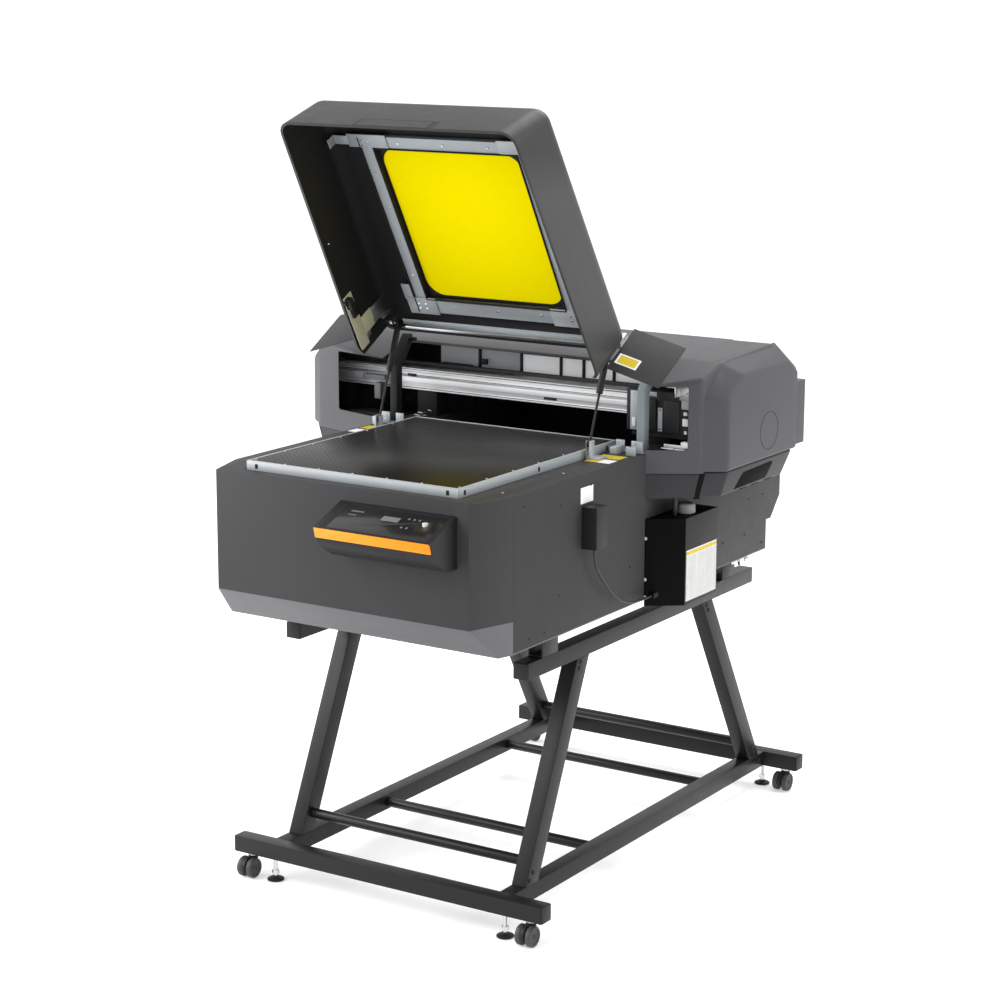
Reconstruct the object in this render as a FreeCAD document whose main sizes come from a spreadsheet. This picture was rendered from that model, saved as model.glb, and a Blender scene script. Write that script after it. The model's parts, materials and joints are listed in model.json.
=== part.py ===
import FreeCAD, Part
import Sketcher
import math
import os
import re

# Flatbed UV printer on a wheeled stand: lidded print bed, gantry head across the back, waste box on the right.
# Millimetres, +Z up, +X to the right seen from the front, +Y to the back, floor at z = 0.
# Sub-parts are built about the body's own centre plane and then moved sideways as one, because the head
# reaches further to the left than to the right.

os.makedirs("parts", exist_ok=True)
doc = FreeCAD.newDocument("uv_printer")

SIZES = (
    # head reach each side of the body's centre plane
    ("reach_left", 690.5),
    ("reach_right", 550.5),
    # stand
    ("bar_half", 443),
    ("cap_thick", 4),
    ("tube", 40),
    ("tube_wall", 2.5),
    ("bar_under", 60),
    ("front_bar_y", -546),
    ("rear_bar_y", 771),
    ("rail_gap", 307),
    ("upper_rail_z", 600),
    ("rail_front", -450),
    ("rail_back", 671),
    ("leg_depth", 54.5),
    ("front_leg_foot", -456),
    ("front_leg_head", -231),
    ("rear_leg_foot", 684.5),
    ("rear_leg_head", 394.5),
    ("stay_radius", 12.5),
    ("caster_reach", 405),
    ("wheel_radius", 25),
    ("caster_trail", 16),
    ("foot_reach", 335),
    ("disc_radius", 21),
    # body
    ("half_width", 389),
    ("front_half", 351),
    ("front_y", -705),
    ("corner_cut", 121),
    ("corner_y", "=front_y + corner_cut"),
    ("body_back", 664),
    ("box_back", 740),
    ("rear_top", 1100),
    ("body_under", 699),
    ("nose_top", 776),
    ("nose_depth", 80),
    ("nose_back", "=front_y + nose_depth"),
    ("deck_top", 1060),
    ("box_top", 876),
    ("well_half", 300),
    ("well_margin", 39),
    ("well_front", "=front_y + well_margin"),
    ("sheet", 3),
    # control panel
    ("panel_left", 8),
    ("panel_right", 320),
    ("panel_reach", 108),
    # waste box
    ("waste_front", 9),
    ("waste_bend", 67),
    ("waste_back", 231),
    ("waste_side", 470),
    ("waste_under", 684),
    ("waste_top", 900),
    ("neck_radius", 17),
    # head
    ("head_front", 7),
    ("head_shoulder", 79),
    ("pod_front", 135),
    ("head_back", 490),
    ("shoulder_in", 48),
    ("skirt_under", 949),
    ("skirt_top", 1012),
    ("skirt_in", 9),
    ("skirt_taper", 24),
    ("groove", 6),
    ("cheek_top", 1240),
    ("opening_low", 1069),
    ("opening_high", 1223),
    ("bezel_top", 1218),
    ("ridge_y", 169),
    ("ridge_z", 1271),
    ("crown_z", 1283),
    ("beam_front", 149),
    ("beam_depth", 60),
    ("beam_low", 1125),
    ("beam_high", 1180),
    ("carriage_left", 288),
    ("carriage_right", 494),
    ("print_gap", 6),
    # lid
    ("hinge_y", 88),
    ("hinge_z", 1268),
    ("open_angle", 59.6),
    ("lid_back", 99.4),
    ("lid_drop", 43),
    ("lid_half", 348),
    ("lid_front_half", 324),
    ("lid_skin", 660),
    ("lid_rim", 694),
    ("lid_depth", 163.5),
    ("window_left", -195),
    ("window_right", 205),
    ("window_rear", 90),
    ("window_front", 530),
    ("arm_in", 352),
    ("arm_thick", 20),
    ("pin_radius", 5),
    ("strut_x", 305),
    ("strut_y", -116),
    ("strut_z", 1095),
    ("strut_u", 10),
    ("strut_d", 30),
    # print table
    ("table_half", 292),
    ("table_gap", 7),
    ("table_front", "=well_front + table_gap"),
    ("table_back", 29),
    ("table_top", 1080),
    ("post_x", 150),
    ("rail_x", 220),
    # fits
    ("running_fit", 0.05),
    ("gap", 0.5),
    ("cable_radius", 3),
)

sheet = doc.addObject("Spreadsheet::Sheet", "Sizes")
for row, (alias, value) in enumerate(SIZES, start=1):
    sheet.set("A%d" % row, alias)
    sheet.set("B%d" % row, str(value))
    sheet.setAlias("B%d" % row, alias)
doc.recompute()
ALIASES = {alias for alias, value in SIZES}

CENTRE = "(reach_left - reach_right) / 2"


def bound(text):
    """Turn words that are driving sizes into references to their cells."""
    return re.sub(r"[a-z][a-z_0-9]*", lambda m: "Sizes." + m[0] if m[0] in ALIASES else m[0], str(text))


def size(alias):
    return float(getattr(sheet, alias))


def drive(obj, prop, text):
    obj.setExpression(prop, bound(text))


def mirrored(side, low, high):
    """A span to the right of the centre plane, or its mirror image to the left of it."""
    return (low, high) if side > 0 else ("-(%s)" % high, "-(%s)" % low)


def mirrored_about(middle, side, low, high):
    """A span on one side of a plane other than the centre plane."""
    near, far = "%s + %d * %s" % (middle, side, low), "%s + %d * %s" % (middle, side, high)
    return (near, far) if side > 0 else (far, near)


def block(x, y, z):
    """A box between three pairs of limits."""
    box = doc.addObject("Part::Box", "Block")
    for prop, axis, (low, high) in zip(("Length", "Width", "Height"), "xyz", (x, y, z)):
        drive(box, prop, "(%s) - (%s)" % (high, low))
        drive(box, "Placement.Base." + axis, low)
    return box


def rod(axis, a, b, radius, low, high):
    """A cylinder along one axis; a and b are its place on the other two axes, in x, y, z order."""
    bar = doc.addObject("Part::Cylinder", "Rod")
    turns = {
        "x": FreeCAD.Rotation(FreeCAD.Vector(0, 1, 0), 90),
        "y": FreeCAD.Rotation(FreeCAD.Vector(1, 0, 0), -90),
        "z": FreeCAD.Rotation(),
    }
    bar.Placement = FreeCAD.Placement(FreeCAD.Vector(), turns[axis])
    others = [letter for letter in "xyz" if letter != axis]
    drive(bar, "Radius", radius)
    drive(bar, "Height", "(%s) - (%s)" % (high, low))
    drive(bar, "Placement.Base." + axis, low)
    drive(bar, "Placement.Base." + others[0], a)
    drive(bar, "Placement.Base." + others[1], b)
    return bar


def fill_outline(sketch, points):
    """Draw a closed outline in a sketch, each corner held by two bound distances."""
    count = len(points)
    start = [FreeCAD.Vector(50 * math.cos(2 * math.pi * (i + 0.1) / count),
                            50 * math.sin(2 * math.pi * (i + 0.1) / count), 0) for i in range(count)]
    for i in range(count):
        sketch.addGeometry(Part.LineSegment(start[i], start[(i + 1) % count]))
    for i in range(count):
        sketch.addConstraint(Sketcher.Constraint("Coincident", i, 2, (i + 1) % count, 1))
    for i, (u, v) in enumerate(points):
        for kind, text, first in (("DistanceX", u, start[i].x), ("DistanceY", v, start[i].y)):
            index = sketch.addConstraint(Sketcher.Constraint(kind, -1, 1, i, 1, first))
            drive(sketch, "Constraints[%d]" % index, text)


def prism(plane, points, low, high):
    """A body padded from an outline on one of its own planes; low and high are along that plane's axis."""
    body = doc.addObject("PartDesign::Body", "Outline")
    sketch = body.newObject("Sketcher::SketchObject", "Sketch")
    origin = [f for f in body.Origin.OriginFeatures if f.Role == plane + "_Plane"][0]
    sketch.AttachmentSupport = [(origin, "")]
    sketch.MapMode = "FlatFace"
    fill_outline(sketch, points)
    drive(sketch, "AttachmentOffset.Base.z", "-(%s)" % high if plane == "XZ" else low)
    pad = body.newObject("PartDesign::Pad", "Pad")
    pad.Profile = sketch
    drive(pad, "Length", "(%s) - (%s)" % (high, low))
    return body


def section(plane, points, level):
    """A closed outline standing on a plane at a distance from the origin."""
    sketch = doc.addObject("Sketcher::SketchObject", "Section")
    turn = {"XY": FreeCAD.Rotation(), "YZ": FreeCAD.Rotation(0.5, 0.5, 0.5, 0.5)}[plane]
    sketch.Placement = FreeCAD.Placement(FreeCAD.Vector(), turn)
    drive(sketch, "Placement.Base." + {"XY": "z", "YZ": "x"}[plane], level)
    fill_outline(sketch, points)
    return sketch


def loft(first, last):
    """A solid with straight sides between two outlines."""
    body = doc.addObject("Part::Loft", "Loft")
    body.Sections = [first, last]
    body.Solid = True
    body.Ruled = True
    return body


def fuse(*shapes):
    if len(shapes) == 1:
        return shapes[0]
    joined = doc.addObject("Part::MultiFuse", "Fuse")
    joined.Shapes = list(shapes)
    return joined


def cut(base, *tools):
    left = doc.addObject("Part::Cut", "Cut")
    left.Base = base
    left.Tool = fuse(*tools)
    return left


def common(*shapes):
    both = doc.addObject("Part::MultiCommon", "Common")
    both.Shapes = list(shapes)
    return both


def group(*shapes):
    """Separate solids carried by one sub-part."""
    several = doc.addObject("Part::Compound", "Group")
    several.Links = list(shapes)
    return several


nodes = {}


def node(name, *shapes):
    """Name a finished sub-part and move it with the body's centre plane."""
    bare = shapes[0].TypeId in ("Part::Box", "Part::Cylinder")
    made = shapes[0] if len(shapes) == 1 and not bare else group(*shapes)
    made.Label = name
    drive(made, "Placement.Base.x", CENTRE)
    nodes[name] = made
    return made


def on_lid(name, *shapes):
    """The same, for a sub-part drawn about the hinge axis with the lid closed: it is set down open."""
    made = node(name, *shapes)
    turn = FreeCAD.Rotation(FreeCAD.Vector(1, 0, 0), -10)
    made.Placement = FreeCAD.Placement(FreeCAD.Vector(), turn)
    drive(made, "Placement.Base.x", CENTRE)
    drive(made, "Placement.Base.y", "hinge_y")
    drive(made, "Placement.Base.z", "hinge_z")
    drive(made, "Placement.Rotation.Angle", "-open_angle")
    return made


# ---------------------------------------------------------------- stand

BAR_TOP = "bar_under + tube"
SIDES = (-1, 1)


def bar(name, front):
    """A square tube across the stand, bored below for two casters and two levelling feet."""
    back = "%s + tube" % front
    middle = "%s + tube / 2" % front
    outer = block(("-bar_half", "bar_half"), (front, back), ("bar_under", BAR_TOP))
    inner = block(("-bar_half - 1", "bar_half + 1"), ("%s + tube_wall" % front, "%s - tube_wall" % back),
                  ("bar_under + tube_wall", BAR_TOP + " - tube_wall"))
    bores = []
    for side in SIDES:
        bores.append(rod("z", "%d * caster_reach" % side, middle, "6 + running_fit", "bar_under - 1",
                         "bar_under + 10"))
        bores.append(rod("z", "%d * foot_reach" % side, middle, "5 + running_fit", "bar_under - 1",
                         "bar_under + 10"))
    node(name, cut(outer, inner, *bores))


def tube_run(side, front, back, under):
    """A square tube running front to back."""
    x = mirrored(side, "rail_gap", "rail_gap + tube")
    inside = mirrored(side, "rail_gap + tube_wall", "rail_gap + tube - tube_wall")
    return cut(block(x, (front, back), (under, under + " + tube")),
               block(inside, (front + " - 1", back + " + 1"), (under + " + tube_wall", under + " + tube - tube_wall")))


def leg(side, foot, head):
    """A leg leaning in the side plane, standing on the lower rail and carrying the upper one."""
    outline = [(foot, BAR_TOP), (foot + " + leg_depth", BAR_TOP), (head + " + leg_depth", "upper_rail_z"),
               (head, "upper_rail_z")]
    wall = "tube_wall * leg_depth / tube"
    hollow = [(foot + " + " + wall, BAR_TOP), (foot + " + leg_depth - " + wall, BAR_TOP),
              (head + " + leg_depth - " + wall, "upper_rail_z"), (head + " + " + wall, "upper_rail_z")]
    return cut(prism("YZ", outline, *mirrored(side, "rail_gap", "rail_gap + tube")),
               prism("YZ", hollow, *mirrored(side, "rail_gap + tube_wall", "rail_gap + tube - tube_wall")))


bar("front_bar", "front_bar_y")
bar("rear_bar", "rear_bar_y")
node("side_rails",
     *[tube_run(side, "front_bar_y + tube", "rear_bar_y", "bar_under") for side in SIDES],
     *[tube_run(side, "rail_front", "rail_back", "upper_rail_z") for side in SIDES])
node("legs",
     *[leg(side, "front_leg_foot", "front_leg_head") for side in SIDES],
     *[leg(side, "rear_leg_foot", "rear_leg_head") for side in SIDES])


def stay(middle, height):
    """A round stay between the two side frames."""
    return rod("x", middle, height, "stay_radius", "-rail_gap", "rail_gap")


STAY_RISE = "45 / (upper_rail_z - bar_under - tube)"
node("cross_tubes",
     stay("front_leg_foot + leg_depth / 2 + (front_leg_head - front_leg_foot) * %s" % STAY_RISE, BAR_TOP + " + 45"),
     stay("-86", "bar_under + tube / 2"),
     stay("496", "bar_under + tube / 2"),
     stay("rear_leg_foot + leg_depth / 2 + (rear_leg_head - rear_leg_foot) * %s" % STAY_RISE, BAR_TOP + " + 45"))

caps = []
for front in ("front_bar_y", "rear_bar_y"):
    for side in SIDES:
        caps.append(block(mirrored(side, "bar_half", "bar_half + cap_thick"), (front, front + " + tube"),
                          ("bar_under", BAR_TOP)))
for side in SIDES:
    across = mirrored(side, "rail_gap", "rail_gap + tube")
    upright = ("upper_rail_z", "upper_rail_z + tube")
    caps.append(block(across, ("rail_front - cap_thick", "rail_front"), upright))
    caps.append(block(across, ("rail_back", "rail_back + cap_thick"), upright))
node("end_caps", *caps)


def mount(side, front):
    """A channel bracket between the upper rail and the floor of the body."""
    x = mirrored(side, "rail_gap", "rail_gap + tube")
    inside = mirrored(side, "rail_gap + 4", "rail_gap + tube - 4")
    z = ("upper_rail_z + tube", "body_under")
    hollow = (z[0] + " + 4", "body_under - 4")
    return cut(block(x, (front, front + " + 70"), z), block(inside, (front + " - 1", front + " + 71"), hollow))


node("mount_brackets", *[mount(side, front) for side in SIDES for front in ("rail_front + 60", "rail_back - 170")])

for end, front in (("front", "front_bar_y"), ("rear", "rear_bar_y")):
    for hand, side in (("left", -1), ("right", 1)):
        middle = "%s + tube / 2" % front
        place = "%d * caster_reach" % side
        behind = middle + " - caster_trail"
        body = rod("z", place, middle, "13", "2 * wheel_radius + 1", "bar_under - gap")
        stem = rod("z", place, middle, "6", "2 * wheel_radius + 1", "bar_under + 9")
        web = prism("YZ", [(middle + " + 12", "2 * wheel_radius + 3"), (behind + " - 12", "wheel_radius + 20"),
                           (behind + " - 12", "wheel_radius - 8"), (behind + " + 12", "wheel_radius - 8"),
                           (middle + " + 12", "wheel_radius + 14")], place + " - 5", place + " + 5")
        axle_way = rod("x", behind, "wheel_radius", "4 + running_fit", place + " - 30", place + " + 30")
        node("caster_fork_%s_%s" % (end, hand), cut(fuse(body, stem, web), axle_way))
        axle = rod("x", behind, "wheel_radius", "4", place + " - 20", place + " + 20")
        discs = [rod("x", behind, "wheel_radius", "wheel_radius", *mirrored_about(place, half, "6", "21"))
                 for half in SIDES]
        node("caster_wheels_%s_%s" % (end, hand), fuse(axle, *discs))
        spot = "%d * foot_reach" % side
        node("levelling_foot_%s_%s" % (end, hand), fuse(
            rod("z", spot, middle, "disc_radius", "1", "7"),
            rod("z", spot, middle, "5", "6", "bar_under + 9"),
            rod("z", spot, middle, "9.5", "18", "27")))

# ---------------------------------------------------------------- body


def footprint(inset):
    """The body in plan, its two front corners cut back by shallow facets."""
    return [("-half_width + %s" % inset, "corner_y"), ("-front_half + %s" % inset, "front_y + %s" % inset),
            ("front_half - %s" % inset, "front_y + %s" % inset), ("half_width - %s" % inset, "corner_y")]


def plan(inset, back):
    return footprint(inset) + [("half_width - %s" % inset, back), ("-half_width + %s" % inset, back)]


front_shell = cut(prism("XY", plan("0", "corner_y + 0.01"), "nose_top", "deck_top"),
                  prism("XY", plan("sheet", "corner_y + 1"), "nose_top - 1", "deck_top + 1"))
node("front_panel", front_shell)

nose = common(
    prism("XY", plan("0", "body_back"), "body_under", "nose_top"),
    prism("YZ", [("nose_back", "body_under"), ("front_y", "nose_top"), ("front_y + sheet * 1.5", "nose_top"),
                 ("nose_back + sheet", "body_under + sheet"), ("body_back", "body_under + sheet"),
                 ("body_back", "body_under")], "-half_width", "half_width"))
corner_walls = common(
    cut(prism("XY", plan("0", "corner_y + 0.01"), "body_under", "nose_top"),
        prism("XY", plan("sheet", "corner_y + 1"), "body_under - 1", "nose_top + 1")),
    prism("YZ", [("nose_back", "body_under"), ("front_y", "nose_top"), ("corner_y + 0.01", "nose_top"),
                 ("corner_y + 0.01", "body_under")], "-half_width", "half_width"))
node("base_pan", fuse(nose, corner_walls))

for name, side in (("left_side_panel", -1), ("right_side_panel", 1)):
    outline = [("corner_y + 0.01", "deck_top"), ("corner_y + 0.01", "body_under + sheet"),
               ("body_back", "body_under + sheet"),
               ("body_back", "nose_top + 1"), ("body_back + 26", "nose_top + 1"), ("box_back", "box_top - 43"),
               ("box_back", "rear_top"), ("head_back", "rear_top"), ("head_back", "deck_top")]
    node(name, prism("YZ", outline, *mirrored(side, "half_width - sheet", "half_width")))

inner_half = "half_width - sheet"
deck_sheet = common(
    prism("XY", plan("sheet", "head_back"), "deck_top - sheet", "deck_top"),
    block(("-(%s)" % inner_half, inner_half), ("front_y + sheet", "head_back"), ("deck_top - sheet", "deck_top")))
well = block(("-well_half", "well_half"), ("well_front", "head_back + 1"), ("deck_top - 10", "deck_top + 10"))
curtains = [block(mirrored(side, "well_half", "well_half + sheet"), ("well_front", "head_back"),
                  ("box_top + 4", "deck_top - 1")) for side in SIDES]
apron = block(("-well_half - sheet", "well_half + sheet"), ("well_front - sheet", "well_front"),
              ("box_top + 4", "deck_top - 1"))
node("deck", fuse(cut(deck_sheet, well), *curtains, apron))

rear_outline = [("body_back", "nose_top + 1"), ("body_back + 26", "nose_top + 1"), ("box_back", "box_top - 43"),
                ("box_back", "rear_top"), ("head_back", "rear_top"), ("head_back", "rear_top - sheet"),
                ("box_back - sheet", "rear_top - sheet"), ("box_back - sheet", "box_top - 42"),
                ("body_back + 25", "nose_top + 1 + sheet"), ("body_back - sheet", "nose_top + 1 + sheet"),
                ("body_back - sheet", "body_under + sheet"), ("body_back", "body_under + sheet")]
node("rear_box", prism("YZ", rear_outline, "-(%s)" % inner_half, inner_half))

# control panel: a wedge housing on the front with a tilted glass, a coloured strip and one push button
PANEL_TOP = "deck_top - 30"
GLASS_FRONT = "front_y - panel_reach"
housing = [("front_y", PANEL_TOP), (GLASS_FRONT, PANEL_TOP + " - 42"), (GLASS_FRONT + " + 6", PANEL_TOP + " - 46"),
           (GLASS_FRONT + " + 17", PANEL_TOP + " - 85"), ("front_y - 38", "deck_top - 147"),
           ("front_y", "deck_top - 148")]
GLASS_TURN = "atan(42 / panel_reach)"
recess_outline = [("front_y - 10", PANEL_TOP + " - 10 * 42 / panel_reach - 3"),
                  ("front_y - 10", PANEL_TOP + " + 4"), (GLASS_FRONT + " + 8", PANEL_TOP + " + 4"),
                  (GLASS_FRONT + " + 8", PANEL_TOP + " - (panel_reach - 8) * 42 / panel_reach - 3")]
glass_outline = [recess_outline[0], ("front_y - 10", PANEL_TOP + " - 10 * 42 / panel_reach"),
                 (GLASS_FRONT + " + 8", PANEL_TOP + " - (panel_reach - 8) * 42 / panel_reach"), recess_outline[3]]
BUTTON_X = "panel_right - 53"
BUTTON_Y = "front_y - 45"
BUTTON_Z = PANEL_TOP + " - 45 * 42 / panel_reach"


def button_bore(radius):
    return rod("z", BUTTON_X, BUTTON_Y, radius, BUTTON_Z + " - 14", BUTTON_Z + " + 9")


trim = [(GLASS_FRONT, PANEL_TOP + " - 42"), (GLASS_FRONT + " + 6", PANEL_TOP + " - 46"),
        (GLASS_FRONT + " + 12", PANEL_TOP + " - 66"), (GLASS_FRONT + " + 6", PANEL_TOP + " - 66")]
TRIM_X = ("panel_left + 2", "panel_right - 2")
node("panel_housing", cut(
    prism("YZ", housing, "panel_left", "panel_right"),
    prism("YZ", recess_outline, "panel_left + 30", "panel_right - 14"),
    prism("YZ", trim, *TRIM_X),
    button_bore("6.5 + gap")))
node("panel_glass", cut(prism("YZ", glass_outline, "panel_left + 30", "panel_right - 14"), button_bore("6.5 + gap")))
node("power_button", rod("z", BUTTON_X, BUTTON_Y, "6.5", BUTTON_Z + " - 11", BUTTON_Z + " + 5"))
node("panel_trim", prism("YZ", trim, *TRIM_X))

# connector box and signal cable on the right side panel, waste box behind them
CABLE_X = "half_width + 21"
CONNECTOR_Y = "waste_front - 275"
node("connector_box", block(("half_width", "half_width + 41"), (CONNECTOR_Y + " - 25", CONNECTOR_Y + " + 25"),
                            ("box_top + 9", "box_top + 109")))

WASTE_PLAN = [("half_width", "waste_front"), ("half_width + 3", "waste_front"), ("waste_side", "waste_bend"),
              ("waste_side", "waste_back"), ("half_width", "waste_back")]
WASTE_INNER = [("half_width + sheet", "waste_front + sheet + 3"), ("waste_side - sheet", "waste_bend + sheet"),
               ("waste_side - sheet", "waste_back - sheet"), ("half_width + sheet", "waste_back - sheet")]
NECK_X = "waste_side - 33"
NECK_Y = "waste_bend + 62"
TUBE_X = "waste_side - 42"
TUBE_Y = "waste_bend + 20"
GLAND_Z = "waste_under + 28"
gland = rod("y", CABLE_X, GLAND_Z, "8", "waste_front - 1", "waste_front + 20")
slant_clear = prism("XY", WASTE_INNER, "waste_under + sheet", "waste_top - sheet")
node("waste_box", cut(
    fuse(prism("XY", WASTE_PLAN, "waste_under", "waste_top"), gland), slant_clear,
    rod("z", NECK_X, NECK_Y, "neck_radius + gap", "waste_top - 10", "waste_top + 5"),
    rod("z", TUBE_X, TUBE_Y, "6 + running_fit", "waste_top - 10", "waste_top + 5")))
flask = block((NECK_X + " - 27", NECK_X + " + 27"), (NECK_Y + " - 42", NECK_Y + " + 85"),
              ("waste_under + sheet", "waste_top - 20"))
shoulder = rod("z", NECK_X, NECK_Y, "neck_radius", "waste_top - 21", "waste_top + 12")
node("waste_bottle", fuse(flask, shoulder))
cap_shell = cut(rod("z", NECK_X, NECK_Y, "neck_radius + 5.5", "waste_top + 1", "waste_top + 25"),
                rod("z", NECK_X, NECK_Y, "neck_radius + running_fit", "waste_top", "waste_top + 12.5"))
node("bottle_cap", cap_shell)
node("waste_tube", rod("z", TUBE_X, TUBE_Y, "6", "waste_top - 2", "skirt_under"))


def cable_route():
    """Points of the cable from the connector box down its sag and into the gland of the waste box."""
    x = size("half_width") + 21
    start_y = size("waste_front") - 275
    start_z = size("box_top") + 9
    end_y = size("waste_front") - 1
    end_z = size("waste_under") + 28
    route = [FreeCAD.Vector(x, start_y, start_z), FreeCAD.Vector(x, start_y, start_z - 37)]
    for step in range(1, 7):
        share = (step / 6) ** 1.25
        fall = max(0.0, 1 - share / 0.79) ** 2.2
        route.append(FreeCAD.Vector(x, start_y + (end_y - start_y) * share, end_z + (start_z - 37 - end_z) * fall))
    return route


def tube_along(points, radius, label):
    """A round tube of straight runs joined by tangent arcs."""
    edges = []
    here = points[0]
    for before, corner, after in zip(points, points[1:], points[2:]):
        back_run = before - corner
        next_run = after - corner
        half_turn = (math.pi - back_run.getAngle(next_run)) / 2
        reach = 0.45 * min(back_run.Length, next_run.Length)
        print(label, "bend radius %.1f" % (reach / math.tan(half_turn)))
        enter = corner + back_run.normalize() * reach
        leave = corner + next_run.normalize() * reach
        bow = (enter + leave) * 0.5 - corner
        radius_here = reach / math.tan(half_turn)
        centre = corner + bow.normalize() * (radius_here / math.cos(half_turn))
        middle = centre + (corner - centre).normalize() * radius_here
        edges.append(Part.LineSegment(here, enter).toShape())
        edges.append(Part.Arc(enter, middle, leave).toShape())
        here = leave
    edges.append(Part.LineSegment(here, points[-1]).toShape())
    spine = Part.Wire(edges)
    direction = points[1] - points[0]
    ring = Part.Wire([Part.Circle(points[0], direction, radius).toShape()])
    pipe = spine.makePipeShell([ring], True, True)
    ratio = pipe.Volume / (math.pi * radius ** 2 * spine.Length)
    print(label, "length %.1f, volume over section times length %.4f" % (spine.Length, ratio))
    return pipe


cable = doc.addObject("Part::Feature", "Cable")
cable.Shape = tube_along(cable_route(), size("cable_radius"), "signal_cable")
node("signal_cable", cable)

# ---------------------------------------------------------------- head


def pod_plan(side, reach, inset, back):
    """One end of the head in plan, from the body's side to its outer face."""
    inner = "half_width"
    points = [(inner, "head_front + %s" % inset),
              ("%s - shoulder_in" % reach, "head_shoulder + %s" % inset),
              ("%s - %s" % (reach, inset), "pod_front + %s" % inset), ("%s - %s" % (reach, inset), back),
              (inner, back)]
    return [("%d * (%s)" % (side, x), y) for x, y in points]


def crown(drop):
    """The top of the head seen from the side: a sloping brow, a nearly flat roof, a short fall at the back."""
    return [("head_front - 10", "skirt_under - 10"), ("head_front - 10", "bezel_top - %s" % drop),
            ("ridge_y", "ridge_z - %s" % drop), ("head_back - 41", "crown_z - %s" % drop),
            ("head_back + 10", "crown_z - 25 - %s" % drop), ("head_back + 10", "skirt_under - 10")]


def hump(side, reach, inset, under):
    """The part of the head's end next to the body, standing a little proud of the end cheek."""
    x = "%s - shoulder_in - %s" % (reach, inset)
    points = [("half_width", "head_front + %s" % inset), (x, "head_shoulder + %s" % inset),
              (x, "head_back - %s" % inset), ("half_width", "head_back - %s" % inset)]
    return common(prism("XY", [("%d * (%s)" % (side, u), v) for u, v in points], under, "crown_z + 20"),
                  prism("YZ", crown(inset), *mirrored(side, "half_width", "%s + 5" % reach)))


def cheek(side, reach, inset, under):
    """The faceted end of the head: it narrows from the hump to an eight-sided flat outer face."""
    low = "skirt_top - %s" % under
    near = [("head_shoulder + groove + %s" % inset, low), ("head_shoulder + groove + %s" % inset, "bezel_top - 22"),
            ("ridge_y + 4 + %s" % inset, "ridge_z - groove - %s" % inset),
            ("head_back - 41 - %s" % inset, "crown_z - groove - %s" % inset),
            ("head_back - groove - %s" % inset, "crown_z - 31 - %s" % inset), ("head_back - groove - %s" % inset, low)]
    far = [("pod_front - 9 + %s" % inset, low), ("pod_front - 8 + %s" % inset, "cheek_top - 51"),
           ("pod_front + 72 + %s" % inset, "cheek_top - %s" % inset),
           ("head_back - 100 - %s" % inset, "cheek_top - 7 - %s" % inset),
           ("head_back - 9 - %s" % inset, "cheek_top - 45 - %s" % inset), ("head_back - 9 - %s" % inset, low)]
    return loft(section("YZ", near, "%d * (%s - shoulder_in - 2 * %s)" % (side, reach, inset)),
                section("YZ", far, "%d * (%s - %s)" % (side, reach, inset)))


def skirt(side, reach, inset, spare):
    """The tapered lower edge of the head's end."""
    top = pod_plan(side, "(%s - 5)" % reach, inset, "head_back - skirt_in - %s" % inset)
    low = pod_plan(side, "(%s - skirt_taper)" % reach, inset, "head_back - skirt_taper - 4 - %s" % inset)
    return loft(section("XY", low, "skirt_under - %s" % spare), section("XY", top, "skirt_top + %s" % spare))


def pod(side, reach):
    """A hollow end of the head, open towards the gantry tunnel, with the window through its front facet."""
    outer = fuse(hump(side, reach, "0", "skirt_top"), cheek(side, reach, "0", "0"), skirt(side, reach, "0", "0"))
    inner = fuse(hump(side, reach, "sheet", "skirt_top - 1"), cheek(side, reach, "sheet", "1"),
                 skirt(side, reach, "sheet", "1"))
    edge = "%s - shoulder_in - 29" % reach if side > 0 else "%s - shoulder_in - 86" % reach
    window = block(mirrored(side, "half_width - 1", edge), ("head_front - 5", "head_shoulder + 20"),
                   ("opening_low", "opening_high"))
    return cut(outer, inner, window)


for name, side, reach in (("head_cover_left", -1, "reach_left"), ("head_cover_right", 1, "reach_right")):
    node(name, pod(side, reach))

floors = []
for side, reach in ((-1, "reach_left"), (1, "reach_right")):
    floors.append(prism("XY", pod_plan(side, "(%s - skirt_taper)" % reach, "sheet", "head_back - skirt_taper - 4 - sheet"),
                        "skirt_under", "skirt_under + sheet"))
node("head_floor", *floors)

LID_CLEAR = "hinge_y + 20"
roof = [(LID_CLEAR, "ridge_z - 16"), (LID_CLEAR, "ridge_z - 9"), ("ridge_y", "ridge_z"),
        ("head_back - 41", "crown_z"), ("head_back", "crown_z - 25 + 10 * 25 / 51"), ("head_back", "ridge_z - 94"),
        ("head_back - sheet", "ridge_z - 94"), ("head_back - sheet", "crown_z - 25"),
        ("head_back - 42", "crown_z - sheet"), ("ridge_y", "ridge_z - sheet"), (LID_CLEAR + " + sheet", "ridge_z - 12"),
        (LID_CLEAR + " + sheet", "ridge_z - 16")]
node("top_cover", prism("YZ", roof, "-half_width", "half_width"))

wing = block(("half_width", "reach_right - 20"), ("head_back", "head_back + 90"),
             ("skirt_top + 3", "ridge_z - 94"))
lintel = block(("-half_width", "half_width"), ("head_back", "head_back + 90"), ("rear_top", "ridge_z - 94"))
scoop = fuse(block(("half_width - 1", "reach_right - 20 - sheet"), ("head_back - 1", "head_back + 90 - sheet"),
                   ("skirt_top + 3 + sheet", "ridge_z - 94 - sheet")),
             block(("-half_width + sheet", "half_width + 5"), ("head_back - 1", "head_back + 90 - sheet"),
                   ("rear_top + sheet", "ridge_z - 94 - sheet")))
node("rear_cover", cut(fuse(wing, lintel), scoop))

wall = block(("-(%s)" % inner_half, inner_half), ("ridge_y + 140", "ridge_y + 143"), ("deck_top", "ridge_z - 5"))
pass_through = block(("-well_half - 5", "well_half + 5"), ("ridge_y + 130", "ridge_y + 150"),
                     ("deck_top - 1", "deck_top + 40"))
node("bulkhead", cut(wall, pass_through))

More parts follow.
